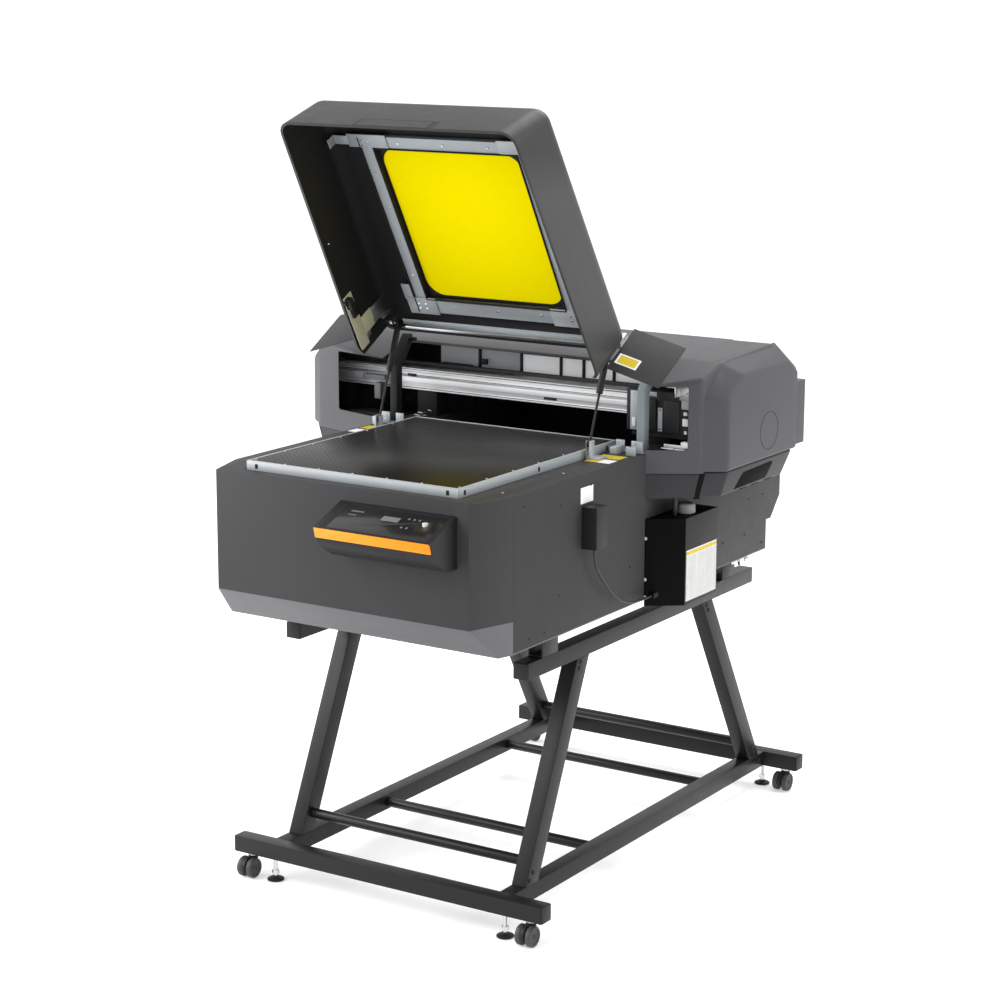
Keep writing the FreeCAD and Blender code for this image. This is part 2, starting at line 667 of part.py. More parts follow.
# gantry: an extruded beam on two supports, the print carriage on its front rail, a toothed belt above it
BEAM_X = ("-reach_left + 50", "reach_right - 40")
beam = block(BEAM_X, ("beam_front", "beam_front + beam_depth"), ("beam_low", "beam_high"))
rail = block(("-reach_left + 60", "reach_right - 45"), ("beam_front - 10", "beam_front"),
             ("beam_low + 20", "beam_low + 34"))
grooves = [block(("-reach_left + 40", "reach_right"), ("beam_front - 1", "beam_front + 4"),
                 ("beam_low + %d" % low, "beam_low + %d" % (low + 6))) for low in (5, 45)]
node("gantry_beam", cut(fuse(beam, rail), *grooves))

props = []
for side in SIDES:
    props.append(block(mirrored(side, "well_half + 15", "well_half + 75"), ("beam_front + 5", "beam_front + beam_depth - 5"),
                       ("deck_top", "beam_low")))
for side, reach in ((-1, "reach_left"), (1, "reach_right")):
    outer = "%s - 70" % reach
    props.append(block(mirrored(side, outer + " - 30", outer),
                       ("beam_front + 5", "beam_front + beam_depth - 5"), ("skirt_under + sheet", "beam_low")))
node("beam_supports", *props)

CARRIAGE_LOW = "table_top + print_gap"
CARRIAGE_X = ("carriage_left", "carriage_right")
carriage_box = fuse(
    block(CARRIAGE_X, ("beam_front - 60", "beam_front - gap"), (CARRIAGE_LOW + " + 12", "beam_high + 20")),
    block(("carriage_left + 12", "carriage_right - 12"), ("beam_front - 54", "beam_front - 18"),
          (CARRIAGE_LOW, CARRIAGE_LOW + " + 12")),
    block(("carriage_left + 40", "carriage_right - 60"), ("beam_front - 50", "beam_front + 20"),
          ("beam_high + 20 - sheet", "beam_high + 20")))
rail_way = block(("carriage_left - 1", "carriage_right + 1"), ("beam_front - 10 - gap", "beam_front"),
                 ("beam_low + 20 - gap", "beam_low + 34 + gap"))
node("carriage", cut(carriage_box, rail_way))

pulleys = [block((low, high), ("beam_front + 26", "beam_front + 46"), ("beam_high", "beam_high + 17"))
           for low, high in (("-reach_left + 60", "-reach_left + 90"), ("reach_right - 80", "reach_right - 50"))]
runs = [block(("-reach_left + 90", "reach_right - 80"), ("beam_front + %s" % low, "beam_front + %s + 1.5" % low),
              ("beam_high + 6", "beam_high + 14")) for low in ("28", "42")]
node("drive_belt", fuse(*pulleys, *runs))

# ---------------------------------------------------------------- lid (drawn closed, about the hinge axis)


def lid_outline(inset):
    """The lid from the side; the front wall leans forward to the rim."""
    lean = "lid_back + lid_rim - %s" % inset
    return [("-(lid_back + %s)" % inset, "-lid_drop - %s" % inset),
            ("-(lid_back + lid_skin - %s)" % inset, "-lid_drop - %s" % inset),
            ("-(%s)" % lean, "-lid_drop - lid_depth"), ("-(lid_back + %s)" % inset, "-lid_drop - lid_depth")]


def lid_plan(inset, rear):
    """The lid from above, narrower at the front."""
    front = "lid_back + lid_rim"
    return [("-lid_half + %s" % inset, rear), ("lid_half - %s" % inset, rear),
            ("lid_front_half - %s" % inset, "-(%s)" % front), ("-lid_front_half + %s" % inset, "-(%s)" % front)]


lid_outer = common(prism("YZ", lid_outline("0"), "-lid_half", "lid_half"),
                   prism("XY", lid_plan("0", "-lid_back"), "-lid_drop - lid_depth", "-lid_drop"))
inner_side = lid_outline("sheet")
inner_side[2] = (inner_side[2][0], "-lid_drop - lid_depth - 5")
inner_side[3] = (inner_side[3][0], "-lid_drop - lid_depth - 5")
lid_inner = common(prism("YZ", inner_side, "-lid_half", "lid_half"),
                   prism("XY", lid_plan("sheet", "-lid_back"), "-lid_drop - lid_depth - 5", "-lid_drop"))
window = block(("window_left", "window_right"), ("-(lid_back + window_front)", "-(lid_back + window_rear)"),
               ("-lid_drop - sheet - 1", "-lid_drop + 1"))
rear_gap = block(("-lid_half + sheet", "lid_half - sheet"), ("-lid_back - sheet - 1", "-lid_back + 1"),
                 ("-lid_drop - lid_depth - 1", "-lid_drop - 45"))
strut_ways = [block(mirrored(side, "strut_x - 16", "strut_x + 16"), ("-lid_back - sheet - 1", "-lid_back + 1"),
                    ("-lid_drop - lid_depth", "-lid_drop - sheet - 2")) for side in SIDES]
bridge_outline = [("-lid_back", "-lid_drop"), ("-lid_back", "-lid_drop - sheet"), ("-22", "-9.5 - sheet"),
                  ("-22", "-9.5")]
bridge = prism("YZ", bridge_outline, "-(arm_in - 17)", "arm_in - 17")
leaves = []
for side in SIDES:
    x = mirrored(side, "arm_in - 17", "arm_in - gap")
    leaves.append(prism("YZ", [("-lid_back", "-lid_drop"), ("-lid_back", "-lid_drop - 12"), ("-2", "-12"), ("10", "-6"),
                               ("10", "6"), ("-2", "10")], *x))
pin_ways = [rod("x", "0", "0", "pin_radius + running_fit", "-lid_half - 20", "lid_half + 20")]
on_lid("lid_shell", cut(fuse(cut(lid_outer, lid_inner, window, rear_gap, *strut_ways), bridge, *leaves), *pin_ways))

PANE_X = ("window_left - 20", "window_right + 20")
PANE_Y = ("-(lid_back + window_front + 20)", "-(lid_back + window_rear - 20)")
on_lid("lid_window", block(PANE_X, PANE_Y, ("-lid_drop - sheet - 5", "-lid_drop - sheet")))
FRAME_Z = ("-lid_drop - sheet - 17", "-lid_drop - sheet - 5")
on_lid("window_frame", cut(
    block(("window_left - 38", "window_right + 38"),
          ("-(lid_back + window_front + 34)", "-(lid_back + window_rear - 44)"), FRAME_Z),
    block(("window_left", "window_right"), ("-(lid_back + window_front)", "-(lid_back + window_rear)"),
          ("-lid_drop - sheet - 18", "-lid_drop - sheet - 4"))))


def side_at(u):
    """Half-width of the lid at a distance in front of its rear edge."""
    return "(lid_half - (lid_half - lid_front_half) * (%s) / lid_rim)" % u


def flap(side, reach, sweep):
    """A swept plate beside the lid that closes the head's opening when the lid is down."""
    near = "(%s)" % sweep
    plan_points = [("%d * %s" % (side, side_at(near)), "-(lid_back + %s)" % near),
                   ("%d * (%s)" % (side, reach), "-lid_back + 30"),
                   ("%d * (%s)" % (side, reach), "-lid_back + 33"),
                   ("%d * %s" % (side, side_at(near + " - 3")), "-(lid_back + %s - 3)" % near)]
    return prism("XY", plan_points, "-168", "-16")


on_lid("lid_flaps", flap(1, "lid_half + 127", "15"), flap(-1, "lid_half + 190", "37"))

brackets = []
for side in SIDES:
    side_wall = "%s - sheet" % side_at("strut_u + 22")
    ear = block(mirrored(side, "strut_x + 12", side_wall), ("-(lid_back + strut_u + 14)", "-(lid_back + strut_u - 6)"),
                ("-(lid_drop + strut_d + 10)", "-lid_drop - sheet"))
    stud = rod("x", "-(lid_back + strut_u)", "-(lid_drop + strut_d)", "3.5",
               *mirrored(side, "strut_x + 8 + gap", "strut_x + 14"))
    brackets.append(fuse(ear, stud))
latch = block(("-(%s - sheet)" % side_at("180"), "-(%s - sheet - 6)" % side_at("20")),
              ("-(lid_back + 170)", "-(lid_back + 20)"), ("-(lid_drop + lid_depth - 12)", "-(lid_drop + 100)"))
rail_strip = block(("-strut_x + 30", "strut_x - 30"), ("-lid_back - sheet - 12", "-lid_back - sheet"),
                   ("-lid_drop - 44", "-lid_drop - 24"))
on_lid("lid_brackets", *brackets, latch, rail_strip)


def arm(side):
    """A gooseneck arm from the deck to the hinge axis, with its pin."""
    x = mirrored(side, "arm_in", "arm_in + arm_thick")
    neck = prism("YZ", [("hinge_y - 61", "deck_top"), ("hinge_y - 37", "deck_top"),
                        ("hinge_y - 37", "hinge_z - 70"), ("hinge_y + 9", "hinge_z - 10"),
                        ("hinge_y - 10", "hinge_z + 9"), ("hinge_y - 61", "hinge_z - 60")], *x)
    boss = rod("x", "hinge_y", "hinge_z", "13", *x)
    pin = rod("x", "hinge_y", "hinge_z", "pin_radius", *mirrored(side, "arm_in - 18", "arm_in + 1"))
    return fuse(neck, boss, pin)


node("hinge_arms", arm(-1), arm(1))

# gas struts, drawn upright from the lower pivot and then leaned towards the upper one
TOP_Y = "(hinge_y - (lid_back + strut_u) * cos(open_angle) - (lid_drop + strut_d) * sin(open_angle))"
TOP_Z = "(hinge_z + (lid_back + strut_u) * sin(open_angle) - (lid_drop + strut_d) * cos(open_angle))"
STRUT_LENGTH = "sqrt((%s - strut_y)^2 + (%s - strut_z)^2)" % (TOP_Y, TOP_Z)
STRUT_LEAN = "atan((%s - strut_y) / (%s - strut_z))" % (TOP_Y, TOP_Z)


def strut(name, side, made):
    """Lean one piece of a strut about its lower pivot."""
    made.Label = name
    turn = FreeCAD.Rotation(FreeCAD.Vector(1, 0, 0), -10)
    made.Placement = FreeCAD.Placement(FreeCAD.Vector(), turn)
    drive(made, "Placement.Base.x", "%s + %d * strut_x" % (CENTRE, side))
    drive(made, "Placement.Base.y", "strut_y")
    drive(made, "Placement.Base.z", "strut_z")
    drive(made, "Placement.Rotation.Angle", "-(%s)" % STRUT_LEAN)
    nodes[name] = made


PIVOT_BORE = "4 + running_fit"
for hand, side in (("left", -1), ("right", 1)):
    eye = rod("x", "0", "0", "7.5", "-4", "4")
    stem = rod("z", "0", "0", "3", "4", "%s * 0.5 + 4" % STRUT_LENGTH)
    strut("strut_rod_" + hand, side, cut(fuse(eye, stem), rod("x", "0", "0", PIVOT_BORE, "-6", "6")))
    barrel = rod("z", "0", "0", "8", "%s * 0.5" % STRUT_LENGTH, "%s - 7" % STRUT_LENGTH)
    bore = rod("z", "0", "0", "3 + running_fit", "%s * 0.5 - 1" % STRUT_LENGTH, "%s - 10" % STRUT_LENGTH)
    neck = rod("z", "0", "0", "4", "%s - 10" % STRUT_LENGTH, "%s - 3" % STRUT_LENGTH)
    socket = rod("x", "0", STRUT_LENGTH, "7.5", "-5", "5")
    strut("strut_cylinder_" + hand, side, fuse(cut(barrel, bore), neck, socket))

clevises = []
for side in SIDES:
    cheeks = [block((left, right), ("strut_y - 9", "strut_y + 9"), ("deck_top", "strut_z + 9"))
              for left, right in (mirrored(side, "strut_x - 4.5 - sheet / 2 + 1", "strut_x - 4 - gap"),
                                  mirrored(side, "strut_x + 4 + gap", "strut_x + 8 + gap"))]
    foot = block(mirrored(side, "strut_x - 4.9", "strut_x + 30"), ("strut_y - 9", "strut_y + 30"),
                 ("deck_top", "deck_top + 4"))
    pivot = rod("x", "strut_y", "strut_z", "4", *mirrored(side, "strut_x - 5", "strut_x + 8 + gap"))
    clevises.append(fuse(*cheeks, foot, pivot))
node("strut_clevises", *clevises)

# ---------------------------------------------------------------- print table

TABLE_X = ("-table_half", "table_half")
TABLE_Y = ("table_front", "table_back")
node("table_plate", block(TABLE_X, TABLE_Y, ("table_top - 4", "table_top")))
frame_walls = cut(
    block(("-table_half + 1", "table_half - 1"), ("table_front + 1", "table_back - 1"), ("table_top - 24", "table_top - 4")),
    block(("-table_half + 4", "table_half - 4"), ("table_front + 4", "table_back - 4"), ("table_top - 25", "table_top - 3")))
frame_plate = block(("-table_half + 2", "table_half - 2"), ("table_front + 2", "table_back - 2"),
                    ("table_top - 28", "table_top - 24"))
cross_beams = [block(("-post_x - 25", "post_x + 25"), (low, high), ("table_top - 25", "table_top - 4"))
               for low, high in (("table_front + 120", "table_front + 150"), ("table_back - 150", "table_back - 120"))]
POST_ROWS = ("table_front + 135", "table_back - 135")
posts = [rod("z", "%d * post_x" % side, row, "12", "box_top + 4", "table_top - 27")
         for side in SIDES for row in POST_ROWS]
node("table_frame", fuse(frame_walls, frame_plate, *cross_beams, *posts))

CARRIER_Z = "body_under + 61"
carrier_plate = block(("-rail_x - 30", "rail_x + 30"), ("table_front + 90", "table_back - 90"),
                      (CARRIER_Z, CARRIER_Z + " + 20"))
sleeves = [rod("z", "%d * post_x" % side, row, "20", CARRIER_Z, "box_top + 19") for side in SIDES for row in POST_ROWS]
sleeve_ways = [rod("z", "%d * post_x" % side, row, "12 + running_fit", CARRIER_Z + " - 1", "box_top + 20")
               for side in SIDES for row in POST_ROWS]
node("table_carrier", cut(fuse(carrier_plate, *sleeves), *sleeve_ways))

RAIL_TOP = CARRIER_Z + " - gap"
guides = []
for side in SIDES:
    x = mirrored(side, "rail_x - 10", "rail_x + 10")
    guides.append(block(x, ("table_front + 60", "body_back - 40"), ("body_under + sheet", RAIL_TOP)))
node("guide_rails", *guides)

# ---------------------------------------------------------------- checks and export

doc.recompute()
for thing in doc.Objects:
    state = [word for word in thing.State if word in ("Invalid", "Error")]
    if state:
        raise RuntimeError("%s (%s) is %s" % (thing.Label, thing.Name, state))
    if hasattr(thing, "Shape") and "Pad" in thing.Name and (thing.Shape.isNull() or not thing.Shape.isValid()):
        raise RuntimeError("%s (%s) has no valid shape" % (thing.Label, thing.Name))
for name, made in nodes.items():
    shape = made.Shape
    if shape.isNull() or not shape.isValid() or not shape.Solids:
        raise RuntimeError("%s has no valid solid" % name)
    shape.exportStep("parts/%s.step" % name)
    span = shape.BoundBox
    print("%-28s solids %2d  x %8.1f %8.1f  y %8.1f %8.1f  z %8.1f %8.1f" % (
        name, len(shape.Solids), span.XMin, span.XMax, span.YMin, span.YMax, span.ZMin, span.ZMax))
print(len(nodes), "sub-parts")
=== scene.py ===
import json
import math
import random

import bmesh
import bpy
from bpy.props import FloatProperty, FloatVectorProperty, IntProperty, PointerProperty
from mathutils import Matrix, Vector

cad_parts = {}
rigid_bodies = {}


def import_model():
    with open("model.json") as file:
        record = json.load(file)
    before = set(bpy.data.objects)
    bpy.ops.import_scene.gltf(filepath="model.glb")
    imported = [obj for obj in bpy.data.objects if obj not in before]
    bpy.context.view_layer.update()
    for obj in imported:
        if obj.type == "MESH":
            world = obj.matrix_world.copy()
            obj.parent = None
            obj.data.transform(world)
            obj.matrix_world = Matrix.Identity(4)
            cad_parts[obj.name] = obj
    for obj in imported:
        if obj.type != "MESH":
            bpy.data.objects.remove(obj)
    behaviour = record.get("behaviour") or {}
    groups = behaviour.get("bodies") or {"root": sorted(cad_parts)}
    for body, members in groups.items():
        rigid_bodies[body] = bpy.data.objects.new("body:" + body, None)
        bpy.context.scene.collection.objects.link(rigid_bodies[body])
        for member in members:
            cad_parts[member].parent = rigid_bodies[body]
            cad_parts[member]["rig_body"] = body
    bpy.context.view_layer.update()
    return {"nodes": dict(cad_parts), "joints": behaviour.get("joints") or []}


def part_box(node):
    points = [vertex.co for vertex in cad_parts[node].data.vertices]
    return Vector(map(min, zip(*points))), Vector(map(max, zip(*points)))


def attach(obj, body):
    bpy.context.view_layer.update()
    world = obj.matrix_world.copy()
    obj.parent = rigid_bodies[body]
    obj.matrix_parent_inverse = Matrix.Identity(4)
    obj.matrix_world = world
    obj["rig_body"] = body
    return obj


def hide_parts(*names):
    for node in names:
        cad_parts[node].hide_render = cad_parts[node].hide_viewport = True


bl_info = {
    "name": "Flatbed UV printer",
    "version": (1, 0, 0),
    "blender": (4, 5, 0),
    "location": "View3D > Sidebar > UV Printer",
    "description": "Builds the finished look of a flatbed UV printer on its wheeled stand",
    "category": "Object",
}

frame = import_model()
JOINTS = {joint["name"]: joint for joint in frame["joints"]}
HINGE = Vector(JOINTS["lid_hinge"]["pos_m"])
OPEN_ANGLE = math.radians(JOINTS["lid_hinge"]["range_deg"][1])
CENTRE_X = HINGE.x
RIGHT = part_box("right_side_panel")
MM = 0.001
SMOOTH_ANGLE = math.radians(38)
HALF_WIDTH = 389
DECK_TOP = 1060
SKIRT_LOW, SKIRT_HIGH = 949, 1012.5
LID_BACK, LID_DROP = 99.4, 43
LID_SKIN, LID_RIM, LID_DEEP = 660, 694, 163.5
LID_TAPER = 24
RIM_Z = -(LID_DROP + LID_DEEP) * MM


# ---------------------------------------------------------------- sizes and colours

def tone_of(title, text, tone):
    return FloatVectorProperty(name=title, description=text, subtype="COLOR", size=3, min=0, max=1,
                               default=tone)


def length_of(title, text, length, least=0):
    return FloatProperty(name=title, description=text, unit="LENGTH", default=length * MM, min=least * MM)


class StageSettings(bpy.types.PropertyGroup):
    """Floor, light and camera"""
    floor_colour: tone_of("Floor", "Colour of the pale floor", (0.86, 0.86, 0.86))
    sky_strength: FloatProperty(name="Surround light", description="Strength of the even light all round",
                                default=1.0, min=0)
    key_power: FloatProperty(name="Key light", description="Power of the large soft light at the front left",
                             default=230, min=0)
    lens: FloatProperty(name="Lens", description="Focal length of the camera in millimetres",
                        default=88.57, min=10)


class FinishSettings(bpy.types.PropertyGroup):
    """Colours of the printer's finishes"""
    coat_colour: tone_of("Body coat", "Powder coat of the body and lid", (0.036, 0.036, 0.038))
    cover_colour: tone_of("Head covers", "Moulded covers of the head", (0.066, 0.065, 0.071))
    stand_colour: tone_of("Stand", "Black coat of the stand", (0.0085, 0.0085, 0.0090))
    strip_colour: tone_of("Panel strip", "Coloured strip of the control panel", (0.95, 0.26, 0.004))
    window_colour: tone_of("Window", "Tint of the safety window in the lid", (0.72, 0.60, 0.0))


class BuildSettings(bpy.types.PropertyGroup):
    """Sizes that shape the pieces"""
    edge_round: length_of("Edge rounding", "Rounding of bent sheet edges", 1.5)
    cover_round: length_of("Cover rounding", "Rounding of the head covers' edges", 12)
    lid_round: length_of("Lid rounding", "Rounding of the lid's top edges", 36)
    hole_pitch: length_of("Bed hole pitch", "Distance between suction holes in the bed", 15, 1)
    round_steps: IntProperty(name="Rounding steps", description="Segments across a large rounded edge",
                             default=5, min=1, max=12)


# ---------------------------------------------------------------- shader arithmetic

def math_step(operation, swapped=False):
    """An arithmetic operator of Wire."""
    def apply(wire, other):
        return wire.step(operation, *((other, wire) if swapped else (wire, other)))
    return apply


class Wire:
    """A shader socket that takes part in arithmetic; every step adds one Math node."""

    def __init__(self, finish, socket):
        self.finish = finish
        self.socket = socket

    def step(self, operation, first, second):
        made = self.finish.add("ShaderNodeMath", {"operation": operation}, {0: first, 1: second})
        return Wire(self.finish, made.outputs[0])

    __add__ = math_step("ADD")
    __mul__ = math_step("MULTIPLY")
    __sub__ = math_step("SUBTRACT")
    __rsub__ = math_step("SUBTRACT", True)
    __pow__ = math_step("POWER")
    __lt__ = math_step("LESS_THAN")
    __gt__ = math_step("GREATER_THAN")

    def wrapped(self, pitch):
        """Distance to the middle of a repeating cell."""
        return self.step("PINGPONG", self, pitch / 2)


class Finish:
    """A procedural material read from Object coordinates."""

    def __init__(self, name, colour, roughness, metallic=0.0, **constants):
        self.material = bpy.data.materials.new(name)
        self.material.use_nodes = True
        self.tree = self.material.node_tree
        self.shader = self.tree.nodes["Principled BSDF"]
        self.material.diffuse_color = (*colour, 1)
        self.feed("Base Color", (*colour, 1))
        self.feed("Roughness", roughness)
        self.feed("Metallic", metallic)
        for socket, value in constants.items():
            self.feed(socket.replace("_", " "), value)
        self.place = self.add("ShaderNodeTexCoord").outputs["Object"]

    def add(self, kind, settings=None, sockets=None):
        made = self.tree.nodes.new(kind)
        for key, value in (settings or {}).items():
            setattr(made, key, value)
        for key, value in (sockets or {}).items():
            self.join(made.inputs[key], value)
        return made

    def join(self, socket, value):
        if isinstance(value, Wire):
            value = value.socket
        if isinstance(value, bpy.types.NodeSocket):
            self.tree.links.new(value, socket)
        else:
            socket.default_value = value

    def feed(self, socket, value):
        self.join(self.shader.inputs[socket], value)

    def noise(self, scale, detail=2.0, roughness=0.5, stretch=None):
        where = self.place
        if stretch:
            where = self.add("ShaderNodeMapping", {}, {"Vector": where, "Scale": stretch}).outputs["Vector"]
        made = self.add("ShaderNodeTexNoise", {"noise_dimensions": "3D"},
                        {"Vector": where, "Scale": scale, "Detail": detail, "Roughness": roughness})
        return Wire(self, made.outputs["Fac"])

    def cells(self, scale):
        made = self.add("ShaderNodeTexVoronoi", {"feature": "F1"}, {"Vector": self.place, "Scale": scale})
        return Wire(self, made.outputs["Distance"])

    def axes(self):
        made = self.add("ShaderNodeSeparateXYZ", {}, {0: self.place})
        return [Wire(self, made.outputs[i]) for i in range(3)]

    def blend(self, mask, low, high):
        made = self.add("ShaderNodeMix", {"data_type": "RGBA"}, {0: mask, 6: low, 7: high})
        return made.outputs[2]

    def bump(self, height, strength, distance):
        made = self.add("ShaderNodeBump", {}, {"Height": height, "Strength": strength, "Distance": distance})
        self.feed("Normal", made.outputs["Normal"])


def shade(colour, factor):
    return (*[min(1.0, c * factor) for c in colour[:3]], 1)


def powder_coat(name, colour, roughness=0.52, grain=900, depth=0.25, gloss=0.16, painted_shade_over=None):
    """Sprayed coat: a fine orange-peel grain, faint cloudiness and a few duller, dustier patches.

    Above the height given in the last argument it gets deeper in tone over the next tenth of a metre; this
    darkening is painted shade.
    """
    coat = Finish(name, colour, roughness, Specular_IOR_Level=gloss)
    cloud = coat.noise(5, 3)
    speck = coat.noise(grain, 1)
    dust = coat.noise(38, 4, 0.6)
    tone = coat.blend(cloud * 0.6 + speck * 0.4, shade(colour, 0.86), shade(colour, 1.16))
    # Painted shade: above the given height the tone blends towards a much darker copy of the coat.
    if painted_shade_over is not None:
        height = coat.axes()[2]
        rise = (height - painted_shade_over) * 10
        share = rise * (rise > 0) * (rise < 1) + (rise > 1) * 0.999
        tone = coat.blend(share, tone, shade(colour, 0.42))
    coat.feed("Base Color", tone)
    coat.feed("Roughness", dust * 0.16 + (roughness - 0.08))
    coat.bump(speck, depth, 0.0004)
    return coat.material


def moulded(name, colour, roughness=0.5, grain=1300, depth=0.35, gloss=0.22):
    """Moulded plastic: a spark-eroded texture of tiny pits with a faint sheen variation."""
    skin = Finish(name, colour, roughness, Specular_IOR_Level=gloss)
    pit = skin.cells(grain)
    cloud = skin.noise(7, 3)
    skin.feed("Base Color", skin.blend(cloud, shade(colour, 0.90), shade(colour, 1.10)))
    skin.feed("Roughness", cloud * 0.14 + (roughness - 0.07))
    skin.bump(pit, depth, 0.0003)
    return skin.material


def bright_metal(name, colour, roughness=0.30, stretch=(4, 400, 400), depth=0.12, metallic=1.0):
    """Drawn or brushed metal: long fine lines along one axis and soft stains."""
    metal = Finish(name, colour, roughness, metallic)
    line = metal.noise(3, 4, 0.6, stretch)
    stain = metal.noise(14, 3)
    metal.feed("Base Color", metal.blend(line * 0.5 + stain * 0.5, shade(colour, 0.86), shade(colour, 1.08)))
    metal.feed("Roughness", line * 0.16 + stain * 0.10 + (roughness - 0.12))
    metal.bump(line, depth, 0.0003)
    return metal.material


def rubbery(name, colour, roughness=0.62):
    """Rubber or soft cable jacket: matte with a fine bloom."""
    skin = Finish(name, colour, roughness)
    bloom = skin.noise(60, 4)
    skin.feed("Base Color", skin.blend(bloom, shade(colour, 0.8), shade(colour, 1.5)))
    skin.feed("Roughness", bloom * 0.2 + (roughness - 0.1))
    skin.bump(skin.noise(1500, 1), 0.15, 0.0003)
    return skin.material


def drilled_bed(name, pitch):
    """Dark anodised bed plate with a square grid of suction holes, each with a bright chamfer."""
    colour = (0.0075, 0.0072, 0.0064)
    plate = Finish(name, colour, 0.34, 0.05, Specular_IOR_Level=0.12)
    x, y, z = plate.axes()
    dx = x.wrapped(pitch)
    dy = y.wrapped(pitch)
    reach = (dx * dx + dy * dy) ** 0.5
    # hole marks the suction holes, which are only bumps: their near-black colour is painted shade inside the
    # holes.
    hole = reach < 0.0022
    rim = (reach < 0.0030) * (reach > 0.0022)
    top = z > (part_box("table_plate")[1].z - 0.001)
    cloud = plate.noise(6, 4)
    line = plate.noise(3, 4, 0.6, (200, 6, 200))
    ground = plate.blend(cloud * 0.6 + line * 0.4, shade(colour, 0.75), shade(colour, 1.35))
    rimmed = plate.blend(rim * top * 0.6, ground, (0.06, 0.057, 0.052, 1))
    # Painted shade: the holes are coloured near black.
    plate.feed("Base Color", plate.blend(hole * top, rimmed, (0.002, 0.002, 0.002, 1)))
    plate.feed("Roughness", cloud * 0.16 + hole * top * 0.4 + 0.24)
    plate.feed("Metallic", 0.05 - hole * top * 0.05)
    plate.bump(line * 0.15 - hole * top, 0.5, 0.0005)
    return plate.material


def tinted_window(name, colour):
    """See-through safety sheet with a painted glow: an even emission stands in for the light behind it."""
    sheet = Finish(name, colour, 0.6, 0.0, Alpha=0.97, Specular_IOR_Level=0.0, Emission_Strength=0.24)
    cloud = sheet.noise(3, 2)
    sheet.feed("Base Color", sheet.blend(cloud, shade(colour, 0.98), shade(colour, 1.02)))
    # Emission is a painted glow, not a lamp.
    sheet.feed("Emission Color", (*colour, 1))
    sheet.feed("Roughness", cloud * 0.04 + 0.6)
    return sheet.material


def lit_sheet(name, colour, glow):
    """Pale sheet with a painted glow: its emission stands in for a little light let through from behind."""
    sheet = Finish(name, colour, 0.5, 0.0, Specular_IOR_Level=0.2, Emission_Strength=glow)
    cloud = sheet.noise(9, 3)
    sheet.feed("Base Color", sheet.blend(cloud, shade(colour, 0.9), shade(colour, 1.08)))
    sheet.feed("Emission Color", (*colour, 1))
    sheet.feed("Roughness", cloud * 0.1 + 0.45)
    return sheet.material


def dark_glass(name):
    """Glossy black glass with faint smears."""
    glass = Finish(name, (0.010, 0.010, 0.011), 0.22, 0.0, Specular_IOR_Level=0.3, Coat_Weight=0.15)
    smear = glass.noise(12, 4, 0.6)
    glass.feed("Roughness", smear * 0.14 + 0.18)
    glass.feed("Base Color", glass.blend(smear, (0.008, 0.008, 0.009, 1), (0.016, 0.016, 0.017, 1)))
    return glass.material


def printed_label(name, ground, ink, bands, across, lines):
    """A plain label: a coloured header and a few even grey rules instead of words."""
    paper = Finish(name, ground, 0.45)
    axis = paper.axes()
    low, high = bands
    height = axis[2]
    header = (height > low) * (height < high)
    rule = (height.wrapped(lines[0]) < lines[1]) * (height < low - 0.004)
    gap = axis[across].wrapped(0.042) > 0.0035
    fibre = paper.noise(300, 3)
    plain = paper.blend(fibre, shade(ground, 0.96), shade(ground, 1.04))
    ruled = paper.blend(rule * gap * 0.45, plain, (0.35, 0.35, 0.36, 1))
    paper.feed("Base Color", paper.blend(header, ruled, (*ink, 1)))
    paper.feed("Roughness", fibre * 0.1 + 0.4)
    return paper.material


LOOKS = {}


